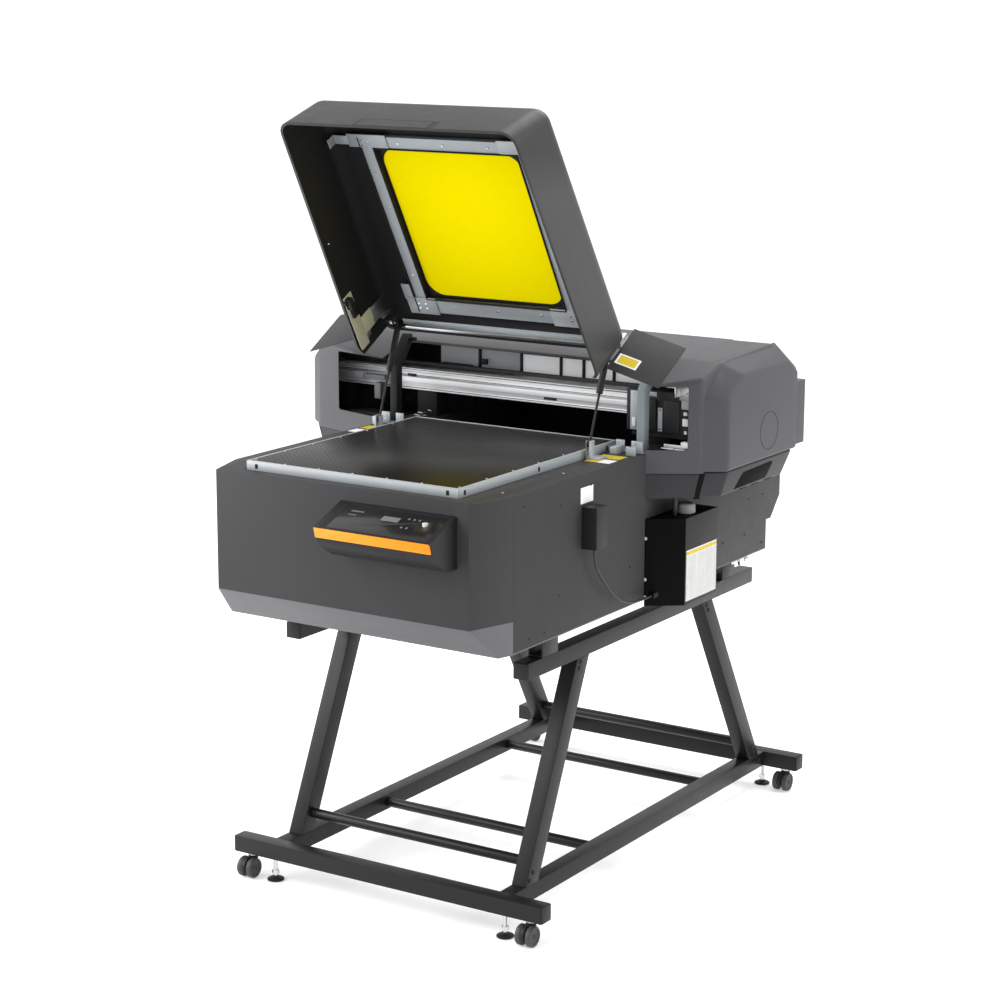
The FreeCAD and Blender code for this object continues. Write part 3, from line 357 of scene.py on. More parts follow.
def make_finishes(colours, build):
    LOOKS.update(
        coat=powder_coat("Body powder coat", tuple(colours.coat_colour)),
        # The lid's inside is the body coat at 0.4 of its tone: painted shade.
        lid_inner=powder_coat("Lid inside painted shade", shade(colours.coat_colour, 0.40)[:3], 0.5, gloss=0.1),
        # The lid moulding carries painted shade above 1.70 m.
        lid_coat=powder_coat("Lid moulding", shade(colours.coat_colour, 1.15)[:3], 0.42, 700, 0.4, 0.3,
                             painted_shade_over=1.70),
        # The front slope is the body coat at 3.4 times its tone: painted light for the light bounced up from
        # the floor.
        slope=powder_coat("Front slope coat, painted light", shade(colours.coat_colour, 3.4)[:3]),
        # The skirt is the cover colour at 0.42 of its tone: painted shade on the downward-facing skirt.
        skirt=moulded("Head skirt moulding, painted shade", shade(colours.cover_colour, 0.42)[:3]),
        box=powder_coat("Waste box coat", (0.0022, 0.0022, 0.0024), 0.5, gloss=0.05),
        # The waste box's side is coloured lighter than its front: a painted sheen.
        box_side=powder_coat("Waste box side coat, painted sheen", (0.020, 0.020, 0.021), 0.5, gloss=0.16),
        stand=powder_coat("Stand black coat", tuple(colours.stand_colour), 0.38, 800, 0.3, 0.26),
        inner=powder_coat("Inner black coat", (0.012, 0.012, 0.013), 0.6),
        cover=moulded("Head cover moulding", tuple(colours.cover_colour)),
        black=moulded("Black moulding", (0.013, 0.013, 0.014), 0.45),
        mark=moulded("Panel marks", (0.16, 0.16, 0.17), 0.4),
        seam=moulded("Dark seam", (0.030, 0.030, 0.032), 0.6),
        cap=moulded("Cap moulding", (0.30, 0.30, 0.31), 0.4),
        grip=moulded("Grip rubber moulding", (0.006, 0.006, 0.007), 0.7, 500, 0.6, 0.05),
        pale=moulded("Off-white moulding", (0.62, 0.62, 0.60), 0.42),
        beige=powder_coat("Latch plate coat", (0.55, 0.53, 0.40), 0.45),
        zinc=bright_metal("Zinc plated steel", (0.60, 0.61, 0.62), 0.34, (60, 60, 60), 0.05),
        chrome=bright_metal("Bright rod steel", (0.66, 0.66, 0.67), 0.16, (200, 200, 4), 0.02),
        alloy=bright_metal("Clear anodised aluminium", (0.80, 0.81, 0.83), 0.44, (2, 90, 90), 0.0, 0.30),
        # A darker copy of the anodised aluminium: painted shade on a band of the beam.
        dull_alloy=bright_metal("Shaded anodised band", (0.30, 0.31, 0.33), 0.42, (2, 300, 300), 0.02, 0.4),
        alloy_y=bright_metal("Anodised table edge", (0.44, 0.47, 0.49), 0.42, (300, 3, 300), 0.03, 0.3),
        satin=bright_metal("Satin zinc sheet", (0.34, 0.37, 0.39), 0.46, (60, 60, 60), 0.03, 0.3),
        post=powder_coat("Grey hinge post", (0.20, 0.23, 0.24), 0.4, gloss=0.4),
        grey_steel=powder_coat("Grey painted steel", (0.10, 0.105, 0.11), 0.42, gloss=0.5),
        rubber=rubbery("Black rubber", (0.016, 0.016, 0.016)),
        tread=rubbery("Grey black tread", (0.030, 0.030, 0.031), 0.55),
        cable=rubbery("Cable jacket", (0.014, 0.014, 0.014), 0.45),
        red=rubbery("Encoder strip", (0.060, 0.016, 0.010)),
        strip=moulded("Panel strip", tuple(colours.strip_colour), 0.38, 900, 0.05),
        glass=dark_glass("Display glass"),
        window=tinted_window("Yellow safety window", tuple(colours.window_colour)),
        bed=drilled_bed("Drilled bed plate", build.hole_pitch),
        # Both sheets carry a painted glow from emission; neither is a lamp.
        diffuser=lit_sheet("Translucent panel", (0.70, 0.71, 0.72), 0.26),
        back_wall=lit_sheet("Pale inner wall", (0.30, 0.32, 0.33), 0.16),
        yellow=moulded("Yellow label", (0.58, 0.43, 0.0), 0.45, 900, 0.05),
        white=moulded("White label", (0.80, 0.80, 0.79), 0.45, 900, 0.05),
    )


# ---------------------------------------------------------------- shapes

def at(x, y, z):
    """A place given in millimetres from the body's centre plane, the middle of the depth and the floor."""
    return Vector((CENTRE_X + x * MM, y * MM, z * MM))


def bar_between(bm, low, high):
    """A rectangular bar between two opposite corners."""
    size = high - low
    place = Matrix.Translation((low + high) / 2) @ Matrix.Diagonal((*size, 1))
    bmesh.ops.create_cube(bm, size=1, matrix=place)


def slab(bm, x, y, z):
    """A rectangular bar given by its limits in millimetres."""
    bar_between(bm, at(x[0], y[0], z[0]), at(x[1], y[1], z[1]))


def spindle(bm, start, end, radius, steps=28, end_radius=None):
    """A round bar or cone between two points."""
    run = end - start
    turn = run.to_track_quat("Z", "Y").to_matrix().to_4x4()
    place = Matrix.Translation((start + end) / 2) @ turn
    bmesh.ops.create_cone(bm, cap_ends=True, segments=steps, radius1=radius, depth=run.length, matrix=place,
                          radius2=radius if end_radius is None else end_radius)


def profile_run(bm, outline, run):
    """An outline of points drawn out along a vector."""
    face = bm.faces.new([bm.verts.new(p) for p in outline])
    made = bmesh.ops.extrude_face_region(bm, geom=[face])["geom"]
    moved = [item for item in made if isinstance(item, bmesh.types.BMVert)]
    bmesh.ops.translate(bm, vec=run, verts=moved)


def soften(bm, width, steps=2, angle=30, pick=None):
    """Round the edges that turn by more than an angle."""
    edges = [e for e in bm.edges if e.is_manifold and e.calc_face_angle(0) > math.radians(angle)]
    if pick:
        edges = [e for e in edges if pick(e)]
    if edges and width > 0:
        bmesh.ops.bevel(bm, geom=edges, offset=width, offset_type="OFFSET", segments=steps, profile=0.5,
                        affect="EDGES", clamp_overlap=True, material=-1)


def placed(name, data):
    """A new object in the scene."""
    made = bpy.data.objects.new(name, data)
    bpy.context.scene.collection.objects.link(made)
    return made


def mesh_of(name, bm):
    mesh = bpy.data.meshes.new(name)
    bm.to_mesh(mesh)
    bm.free()
    return mesh


def smoothed(mesh):
    mesh.shade_smooth()
    mesh.set_sharp_from_angle(angle=SMOOTH_ANGLE)


def finish_piece(name, bm, look, body="frame", replaces=()):
    """Turn a bmesh into a piece that rides on a body."""
    bmesh.ops.recalc_face_normals(bm, faces=bm.faces)
    mesh = mesh_of(name, bm)
    smoothed(mesh)
    piece = placed(name, mesh)
    mesh.materials.append(LOOKS[look])
    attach(piece, body)
    if replaces:
        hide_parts(*replaces)
    return piece


def merged_copy(node):
    """A node's own shape with its loose triangles joined and its flat faces whole."""
    bm = bmesh.new()
    bm.from_mesh(frame["nodes"][node].data)
    bmesh.ops.remove_doubles(bm, verts=bm.verts, dist=2e-5)
    bmesh.ops.dissolve_limit(bm, angle_limit=math.radians(0.6), verts=bm.verts, edges=bm.edges)
    return bm


def softened(node, look, width=None, steps=2, angle=35):
    """A node's shape with its edges rounded, in place of the node."""
    build = bpy.context.scene.uv_build
    bm = merged_copy(node)
    soften(bm, build.edge_round if width is None else width * MM, steps, angle)
    return finish_piece(node + "_finished", bm, look, frame["nodes"][node]["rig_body"], (node,))


def carved(piece, *cutters):
    """Cut other meshes out of a piece and keep the result as the piece's own mesh."""
    tools = []
    for i, bm in enumerate(cutters):
        bmesh.ops.recalc_face_normals(bm, faces=bm.faces)
        tool = placed("cutter_%d" % i, mesh_of("cutter", bm))
        step = piece.modifiers.new("cut_%d" % i, "BOOLEAN")
        step.operation = "DIFFERENCE"
        step.solver = "EXACT"
        step.object = tool
        tools.append(tool)
    settle(piece)
    for tool in tools:
        bpy.data.objects.remove(tool)


def settle(piece):
    """Make a piece's modifiers permanent."""
    bpy.context.view_layer.update()
    graph = bpy.context.evaluated_depsgraph_get()
    mesh = bpy.data.meshes.new_from_object(piece.evaluated_get(graph))
    piece.modifiers.clear()
    piece.data = mesh
    smoothed(mesh)


def thicken(piece, wall):
    step = piece.modifiers.new("wall", "SOLIDIFY")
    step.thickness = wall * MM
    step.offset = -1
    step.use_even_offset = True
    step.use_quality_normals = True


def screws(name, places, radius, height, look="chrome", body="frame"):
    """Low button-head screws, each with a socket, facing along a direction."""
    bm = bmesh.new()
    for place, way in places:
        way = Vector(way).normalized()
        spindle(bm, place - way * 0.4 * MM, place + way * height * MM, radius * MM, 14, radius * 0.72 * MM)
        head = place + way * height * MM
        spindle(bm, head, place + way * (height - 0.7) * MM * 1.001, radius * 0.42 * MM, 6)
    finish_piece(name, bm, look, body)


def cluster(name, look, boxes, width=0.8, body="frame"):
    """Several small rounded blocks of one look, each given by its limits in millimetres."""
    bm = bmesh.new()
    for x, y, z in boxes:
        slab(bm, x, y, z)
    soften(bm, width * MM, 2)
    finish_piece(name, bm, look, body)


def second_look(mesh, look, pick):
    """Give the faces that pick chooses a second look."""
    mesh.materials.append(LOOKS[look])
    for face in mesh.polygons:
        if pick(face):
            face.material_index = 1


def solid_hull(points):
    """A closed convex form round a set of points."""
    bm = bmesh.new()
    verts = [bm.verts.new(p) for p in points]
    made = bmesh.ops.convex_hull(bm, input=verts, use_existing_faces=False)
    spare = [v for v in made["geom_interior"] + made["geom_unused"] if isinstance(v, bmesh.types.BMVert)]
    bmesh.ops.delete(bm, geom=list(set(spare)), context="VERTS")
    bmesh.ops.dissolve_limit(bm, angle_limit=math.radians(1), verts=bm.verts, edges=bm.edges)
    return bm


def lid_place():
    """Carries a shape drawn with the lid closed, about the hinge, to the open lid."""
    return Matrix.Translation(HINGE) @ Matrix.Rotation(-OPEN_ANGLE, 4, "X")


def lid_at(x, u, d):
    """A point of the closed lid: x across, u ahead of its rear edge, d below its skin."""
    return Vector((x, -(LID_BACK + u), -(LID_DROP + d))) * MM


# ---------------------------------------------------------------- operators

class UVPRINTER_OT_stage(bpy.types.Operator):
    """Floor, surround light, soft lights and camera"""
    bl_idname = "uv_printer.stage"
    bl_label = "Stage"

    def execute(self, context):
        scene = context.scene
        settings = scene.uv_stage
        world = bpy.data.worlds.new("Surround")
        world.use_nodes = True
        world.node_tree.nodes["Background"].inputs[0].default_value = (1, 1, 1, 1)
        world.node_tree.nodes["Background"].inputs[1].default_value = settings.sky_strength
        scene.world = world
        scene.view_settings.view_transform = "Standard"
        bm = bmesh.new()
        bmesh.ops.create_grid(bm, x_segments=1, y_segments=1, size=30)
        mesh = mesh_of("floor", bm)
        floor = placed("floor", mesh)
        ground = Finish("Pale floor", tuple(settings.floor_colour), 0.9, Specular_IOR_Level=0.1,
                        Emission_Strength=0.30)
        ground.feed("Emission Color", (1, 1, 1, 1))
        cloud = ground.noise(0.7, 2)
        ground.feed("Base Color", ground.blend(cloud, shade(settings.floor_colour, 0.995),
                                               shade(settings.floor_colour, 1.005)))
        mesh.materials.append(ground.material)
        for name, place, size, power in (
                ("key", (-3.2, -5.0, 4.6), 3.2, settings.key_power),
                ("top", (0.4, 2.4, 4.6), 3.0, settings.key_power * 0.45),
                ("left", (-4.6, -1.6, 1.9), 2.4, settings.key_power * 0.62),
                ("rim", (4.6, 2.2, 3.2), 2.4, settings.key_power * 0.35)):
            lamp = bpy.data.lights.new(name, "AREA")
            lamp.size = size
            lamp.energy = power
            holder = placed(name, lamp)
            holder.location = place
            aim = Vector((0, 0, 1.0)) - Vector(place)
            holder.rotation_euler = aim.to_track_quat("-Z", "Y").to_euler()
        camera = placed("camera", bpy.data.cameras.new("camera"))
        camera.data.lens = settings.lens
        camera.data.sensor_width = 36
        camera.location = (3.2837, -5.0534, 2.1927)
        camera.rotation_euler = (math.radians(77.84), 0, math.radians(32.62))
        camera.rotation_euler.rotate_axis("Z", math.radians(0.21))
        scene.camera = camera
        return {"FINISHED"}


class UVPRINTER_OT_finishes(bpy.types.Operator):
    """All the materials"""
    bl_idname = "uv_printer.finishes"
    bl_label = "Finishes"

    def execute(self, context):
        make_finishes(context.scene.uv_finish, context.scene.uv_build)
        return {"FINISHED"}


class UVPRINTER_OT_cable(bpy.types.Operator):
    """The signal cable from the connector box to the waste box"""
    bl_idname = "uv_printer.cable"
    bl_label = "Signal cable"

    def execute(self, context):
        points = [(0.480, -0.266, 0.885), (0.480, -0.266, 0.848)]
        for step in range(1, 7):
            share = (step / 6) ** 1.25
            fall = max(0.0, 1 - share / 0.79) ** 2.2
            points.append((0.480, -0.266 + 0.274 * share, 0.712 + 0.136 * fall))
        line = bpy.data.curves.new("signal_cable_line", "CURVE")
        line.dimensions = "3D"
        line.bevel_depth = 3 * MM
        line.bevel_resolution = 6
        line.resolution_u = 16
        line.use_fill_caps = True
        spline = line.splines.new("NURBS")
        spline.points.add(len(points) - 1)
        for point, place in zip(spline.points, points):
            point.co = (*place, 1)
        spline.order_u = 3
        spline.use_endpoint_u = True
        cable = placed("signal_cable_line", line)
        line.materials.append(LOOKS["cable"])
        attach(cable, "frame")
        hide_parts("signal_cable")
        return {"FINISHED"}


class UVPRINTER_OT_stand(bpy.types.Operator):
    """Bars, rails, legs, stays, caps, brackets and bolts of the stand"""
    bl_idname = "uv_printer.stand"
    bl_label = "Stand"

    def execute(self, context):
        for node in ("front_bar", "rear_bar", "side_rails", "legs"):
            softened(node, "stand", 3, 3)
        softened("cross_tubes", "stand", 1)
        softened("end_caps", "black", 1.8, 2)
        softened("mount_brackets", "stand", 1)
        bolts = []
        for side in (-1, 1):
            for y, z in ((-440, 112), (-424, 128), (-216, 590), (-222, 576), (712, 112), (700, 128),
                         (420, 590), (428, 576)):
                bolts.append((at(side * 347, y, z), (side, 0, 0)))
            for y in (-480, 745):
                bolts.append((at(side * 347, y, 80), (side, 0, 0)))
        screws("stand_bolts", bolts, 6, 3, "black")
        return {"FINISHED"}


def upright(bm, place, low, high, radius, steps, end_radius=None):
    """A standing spindle between two heights over a place, in millimetres."""
    spindle(bm, place + Vector((0, 0, low)) * MM, place + Vector((0, 0, high)) * MM, radius * MM, steps,
            None if end_radius is None else end_radius * MM)


def revolve(bm, outline, centre, axis, steps=40):
    """Turn an outline of (distance along the axis, radius) pairs into a ring about an axis."""
    axis = Vector(axis).normalized()
    out = axis.orthogonal().normalized()
    verts = [bm.verts.new(centre + axis * along * MM + out * radius * MM) for along, radius in outline]
    edges = [bm.edges.new((a, b)) for a, b in zip(verts, verts[1:])]
    bmesh.ops.spin(bm, geom=verts + edges, cent=centre, axis=axis, angle=math.tau, steps=steps,
                   use_merge=True)


class UVPRINTER_OT_casters(bpy.types.Operator):
    """Twin-wheel casters and levelling feet"""
    bl_idname = "uv_printer.casters"
    bl_label = "Casters and feet"

    def execute(self, context):
        for end, y in (("front", -526), ("rear", 791)):
            for hand, side in (("left", -1), ("right", 1)):
                self.caster(end, hand, at(side * 405, y, 0))
                self.foot(end, hand, at(side * 335, y, 0))
        return {"FINISHED"}

    def caster(self, end, hand, place):
        hub = place + Vector((0, -16, 25)) * MM
        bm = bmesh.new()
        for side in (-1, 1):
            outline = [(6, 4.2), (6, 15), (7, 23.5), (9, 25), (18, 25), (20.5, 23.5), (21, 18), (19.2, 17),
                       (19.2, 7), (21, 6), (21, 4.2), (6, 4.2)]
            revolve(bm, [(along * side, radius) for along, radius in outline], hub, (1, 0, 0))
        bmesh.ops.remove_doubles(bm, verts=bm.verts, dist=1e-6)
        spindle(bm, hub - Vector((20, 0, 0)) * MM, hub + Vector((20, 0, 0)) * MM, 4 * MM, 20)
        name = "caster_wheels_%s_%s" % (end, hand)
        finish_piece(name + "_finished", bm, "tread", "caster_%s_%s_roller" % (end, hand),
                     (name,))
        bm = bmesh.new()
        arc = []
        for step in range(13):
            angle = math.radians(20 + step * 15)
            arc.append((math.cos(angle), math.sin(angle)))
        outline = [hub + Vector((-5, c * 27, s * 27)) * MM for c, s in arc]
        outline += [hub + Vector((-5, -12, -8)) * MM, hub + Vector((-5, 10, -8)) * MM]
        profile_run(bm, outline, Vector((10 * MM, 0, 0)))
        soften(bm, 1.2 * MM, 2)
        upright(bm, place, 44, 52, 13, 32, 11.5)
        name = "caster_fork_%s_%s" % (end, hand)
        finish_piece(name + "_finished", bm, "black", "caster_%s_%s_swivel" % (end, hand), replaces=(name,))
        bm = bmesh.new()
        revolve(bm, [(52, 6), (52, 11.5), (53, 12.5), (58.4, 12.5), (59.4, 11.5), (59.4, 6), (52, 6)], place,
                (0, 0, 1), 32)
        upright(bm, place, 52, 73, 6, 20)
        finish_piece("caster_collar_%s_%s" % (end, hand), bm, "chrome", "caster_%s_%s_swivel" % (end, hand))

    def foot(self, end, hand, place):
        name = "levelling_foot_%s_%s" % (end, hand)
        body = "foot_%s_%s" % (end, hand)
        bm = bmesh.new()
        revolve(bm, [(1, 0), (1, 19), (2, 21), (5, 21), (7, 18), (9.5, 9), (12, 8), (12, 0)], place,
                (0, 0, 1), 36)
        bmesh.ops.remove_doubles(bm, verts=bm.verts, dist=1e-6)
        finish_piece(name + "_finished", bm, "black", body, (name,))
        bm = bmesh.new()
        upright(bm, place, 10, 74, 5, 20)
        for step in range(10):
            ring = place + Vector((0, 0, 30 + step * 2.6)) * MM
            spindle(bm, ring, ring + Vector((0, 0, 0.9)) * MM, 5.0 * MM, 20, 4.4 * MM)
        upright(bm, place, 18, 27, 9.4, 6)
        finish_piece("levelling_stud_%s_%s" % (end, hand), bm, "chrome", body)


class UVPRINTER_OT_body(bpy.types.Operator):
    """Sheet metal of the body, its screws and its plain labels"""
    bl_idname = "uv_printer.body"
    bl_label = "Body"

    def execute(self, context):
        for node in ("front_panel", "left_side_panel", "right_side_panel", "deck", "rear_box"):
            softened(node, "coat", 0.9)
        # base_pan takes the lighter slope look: painted light.
        softened("base_pan", "slope", 0.9)
        half = (RIGHT[1].x - CENTRE_X) / MM
        places = []
        for y, z in ((-384, 1005), (-62, 795), (-388, 795), (-451, 721), (-516, 721), (-540, 1030),
                     (-250, 1030), (300, 760), (420, 760), (540, 760), (640, 720), (640, 850), (560, 850)):
            places.append((at(half, y, z), (1, 0, 0)))
            places.append((at(-half, y, z), (-1, 0, 0)))
        screws("side_screws", places, 3.2, 1.2, "black")
        deck = [(at(side * 345, y, DECK_TOP), (0, 0, 1)) for side in (-1, 1) for y in (-560, -300, -90)]
        screws("deck_screws", deck, 3.2, 0.9, "zinc")
        cluster("rail_latch", "chrome",
                [((347, 350), (548, 640), (672, 680)), ((348, 356), (584, 606), (664, 688)),
                 ((349, 354), (616, 640), (668, 676))], 1)
        cluster("side_label", "white", [((half, half + 0.5), (-296, -240), (991, 1029))], 0)
        for name, x, y, look in (("deck_label_a", (308, 372), (-92, -52), "yellow"),
                                 ("deck_label_b", (308, 340), (-146, -106), "yellow"),
                                 ("deck_label_c", (342, 376), (-146, -106), "white"),
                                 ("deck_label_d", (-382, -330), (-92, -52), "yellow"),
                                 ("deck_label_e", (-382, -330), (-146, -106), "white")):
            cluster(name, look, [(x, y, (DECK_TOP, DECK_TOP + 0.4))], 0)
        return {"FINISHED"}


class UVPRINTER_OT_control_panel(bpy.types.Operator):
    """Tilted control panel with its glass, coloured strip and button"""
    bl_idname = "uv_printer.control_panel"
    bl_label = "Control panel"

    def execute(self, context):
        softened("panel_housing", "black", 2.4, 3)
        softened("panel_glass", "glass", 0.6)
        softened("panel_trim", "strip", 0.8)
        softened("power_button", "pale", 0.8)
        slope = 42 / 108
        bm = bmesh.new()
        for x, ahead, wide, deep in ((60, 30, 34, 3), (60, 44, 22, 2), (150, 34, 46, 16), (214, 30, 5, 5),
                                     (228, 30, 5, 5), (242, 30, 5, 5), (214, 62, 5, 5), (228, 62, 5, 5)):
            points = [at(x + dx, -705 - ahead - dy, 1030.2 - (ahead + dy) * slope + lift)
                      for dx in (0, wide) for dy in (0, deep) for lift in (-0.3, 0.2)]
            mesh = mesh_of("mark", solid_hull(points))
            bm.from_mesh(mesh)
            bpy.data.meshes.remove(mesh)
        finish_piece("panel_marks", bm, "mark")
        return {"FINISHED"}


class UVPRINTER_OT_side_units(bpy.types.Operator):
    """Connector box, waste box, bottle, cap and waste tube"""
    bl_idname = "uv_printer.side_units"
    bl_label = "Side units"

    def execute(self, context):
        softened("connector_box", "black", 1.8, 3)
        # Faces turned to +x take the lighter side look: painted sheen.
        second_look(softened("waste_box", "box", 0.9).data, "box_side", lambda face: face.normal.x > 0.7)
        softened("waste_bottle", "pale", 1.5)
        softened("waste_tube", "cable", 0.5)
        low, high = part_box("bottle_cap")
        middle = (low + high) / 2
        bm = bmesh.new()
        base = Vector((middle.x, middle.y, low.z))
        outline = [(0, 17.2), (0, 21), (1, 21.6), (20, 20.4), (22.5, 18.8), (24, 15.5), (24, 0)]
        revolve(bm, outline, base, (0, 0, 1), 48)
        for k in range(32):
            angle = k * math.tau / 32
            out = Vector((math.cos(angle), math.sin(angle), 0))
            spindle(bm, base + out * 20.9 * MM + Vector((0, 0, 1.5 * MM)),
                    base + out * 20.2 * MM + Vector((0, 0, 20 * MM)), 1.1 * MM, 6)
        finish_piece("bottle_cap_finished", bm, "cap", "cap", replaces=("bottle_cap",))
        side = (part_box("waste_box")[1].x - CENTRE_X) / MM
        LOOKS["waste_label"] = printed_label("Waste box label", (0.82, 0.82, 0.80), (0.85, 0.62, 0.01),
                                             (0.807, 0.815), 1, (0.0052, 0.0011))
        bm = bmesh.new()
        slab(bm, (side - 0.4, side), (72, 228), (692, 819))
        finish_piece("waste_label", bm, "waste_label")
        heads = [(at(390.5, 9, z), (0, -1, 0)) for z in (852, 750, 706)]
        screws("waste_screws", heads, 4.5, 0.8, "pale")
        return {"FINISHED"}


class UVPRINTER_OT_head(bpy.types.Operator):
    """Moulded covers of the head, its grips, emblem ring, floor and bulkhead"""
    bl_idname = "uv_printer.head"
    bl_label = "Head"

    def execute(self, context):
        build = context.scene.uv_build
        for name, side in (("head_cover_left", -1), ("head_cover_right", 1)):
            low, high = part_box(name)
            reach = max(abs(low.x - CENTRE_X), abs(high.x - CENTRE_X)) / MM
            self.hump(name, side, reach, build)
            self.cheek(name, side, reach, build)
            self.skirt(name, side, reach)
        softened("top_cover", "cover", 1.4)
        softened("rear_cover", "cover", 5, 3)
        softened("head_floor", "coat", 0.5)
        softened("bulkhead", "inner", 0.5)
        return {"FINISHED"}

    def crown(self, y):
        """Height of the head's top at a depth."""
        if y < 169:
            return 1218 + (y + 3) * 53 / 172
        return 1271 + (y - 169) * 12 / 280 if y < 449 else 1283 - (y - 449) * 25 / 51

    def hump(self, name, side, reach, build):
        inner, outer = HALF_WIDTH, reach - 48
        points = []
        for x, ys in ((inner, (7, 169, 449, 490)), (outer, (79, 169, 449, 490))):
            for y in ys:
                points += [at(side * x, y, 1012), at(side * x, y, self.crown(y))]
        bm = solid_hull(points)
        plane = CENTRE_X + side * inner * MM
        soften(bm, build.cover_round, build.round_steps, 12,
               lambda e: max(abs(v.co.x - plane) for v in e.verts) > 1 * MM
               and max(v.co.z for v in e.verts) > 1.02)
        open_side = [f for f in bm.faces if all(abs(v.co.x - plane) < 0.1 * MM for v in f.verts)]
        bmesh.ops.delete(bm, geom=open_side, context="FACES")
        piece = finish_piece(name + "_hump", bm, "cover", replaces=(name,))
        thicken(piece, 3)
        settle(piece)
        cutter = bmesh.new()
        edge = reach - 77 if side > 0 else reach - 134
        slab(cutter, sorted((side * 385, side * edge)), (-5, 99), (1069, 1223))
        soften(cutter, 7 * MM, 4, 30, lambda e: abs(e.verts[0].co.y - e.verts[1].co.y) > 50 * MM)
        carved(piece, cutter)

    def cheek(self, name, side, reach, build):
        near = ((85, 1013), (85, 1196), (173, 1265), (470, 1276), (494, 1258), (494, 1013))
        far = ((126, 1013), (127, 1189), (207, 1240), (452, 1237), (500, 1212), (500, 1013))
        points = [at(side * (reach - inset), y, z) for inset, outline in ((49.5, near), (0.5, far))
                  for y, z in outline]
        bm = solid_hull(points)
        face = CENTRE_X + side * (reach - 40) * MM
        soften(bm, build.cover_round * 0.75, build.round_steps, 6,
               lambda e: max(v.co.x * side for v in e.verts) > face * side)
        finish_piece(name + "_cheek", bm, "cover")
        bm = bmesh.new()
        centre = at(side * (reach - 0.5), 342, 1083)
        revolve(bm, [(-0.5, 46.8), (0.45, 46.8), (0.45, 48.2), (-0.5, 48.2)], centre, (side, 0, 0), 72)
        finish_piece(name + "_ring", bm, "seam")

    def skirt(self, name, side, reach):
        points = []
        for cut_back, back, z in ((5, 481, SKIRT_HIGH), (24, 462, SKIRT_LOW)):
            out = reach - cut_back
            points += [at(side * x, y, z) for x, y in
                       ((HALF_WIDTH, 7), (out - 48, 79), (out, 135), (out, back), (HALF_WIDTH, back))]
        bm = solid_hull(points)
        soften(bm, 5 * MM, 3, 15, lambda e: max(abs(v.co.x - CENTRE_X) for v in e.verts) > 390 * MM)
        # The skirt takes the darker skirt look: painted shade.
        finish_piece(name + "_skirt", bm, "skirt")

        def on_wall(y, z, lift):
            return at(side * (reach - 24 + 19 * (z - SKIRT_LOW) / 63.5 + lift), y, z)

        grip = ((200, 956), (218, 988), (226, 996), (376, 1000), (384, 994), (370, 962), (362, 957))
        bm = solid_hull([on_wall(y, z, lift) for y, z in grip for lift in (-2, 0.7)])
        soften(bm, 0.5 * MM, 2)
        finish_piece(name + "_grip", bm, "grip")
        # Dark bars stand for slot openings in the skirt: painted shade inside the slots.
        bm = bmesh.new()
        for y in (236, 300, 372):
            bar_between(bm, *[at(side * (reach - 24 + lift), y + wide, z)
                              for lift, wide, z in ((-30, 0, 948.9), (0.3, 34, 953))])
        finish_piece(name + "_slots", bm, "inner")
        slot = [(reach - 53 - 1, 79), (reach - 53 + 9, 90)]
        bm = solid_hull([at(side * (x - 10 * (z < 980) * 1.7), y - 0.6 - lift + 3 * (z < 980), z)
                         for x, y in slot for z in (946, 1010) for lift in (-4, 0)])
        soften(bm, 3 * MM, 3)
        finish_piece(name + "_front_slot", bm, "grip")


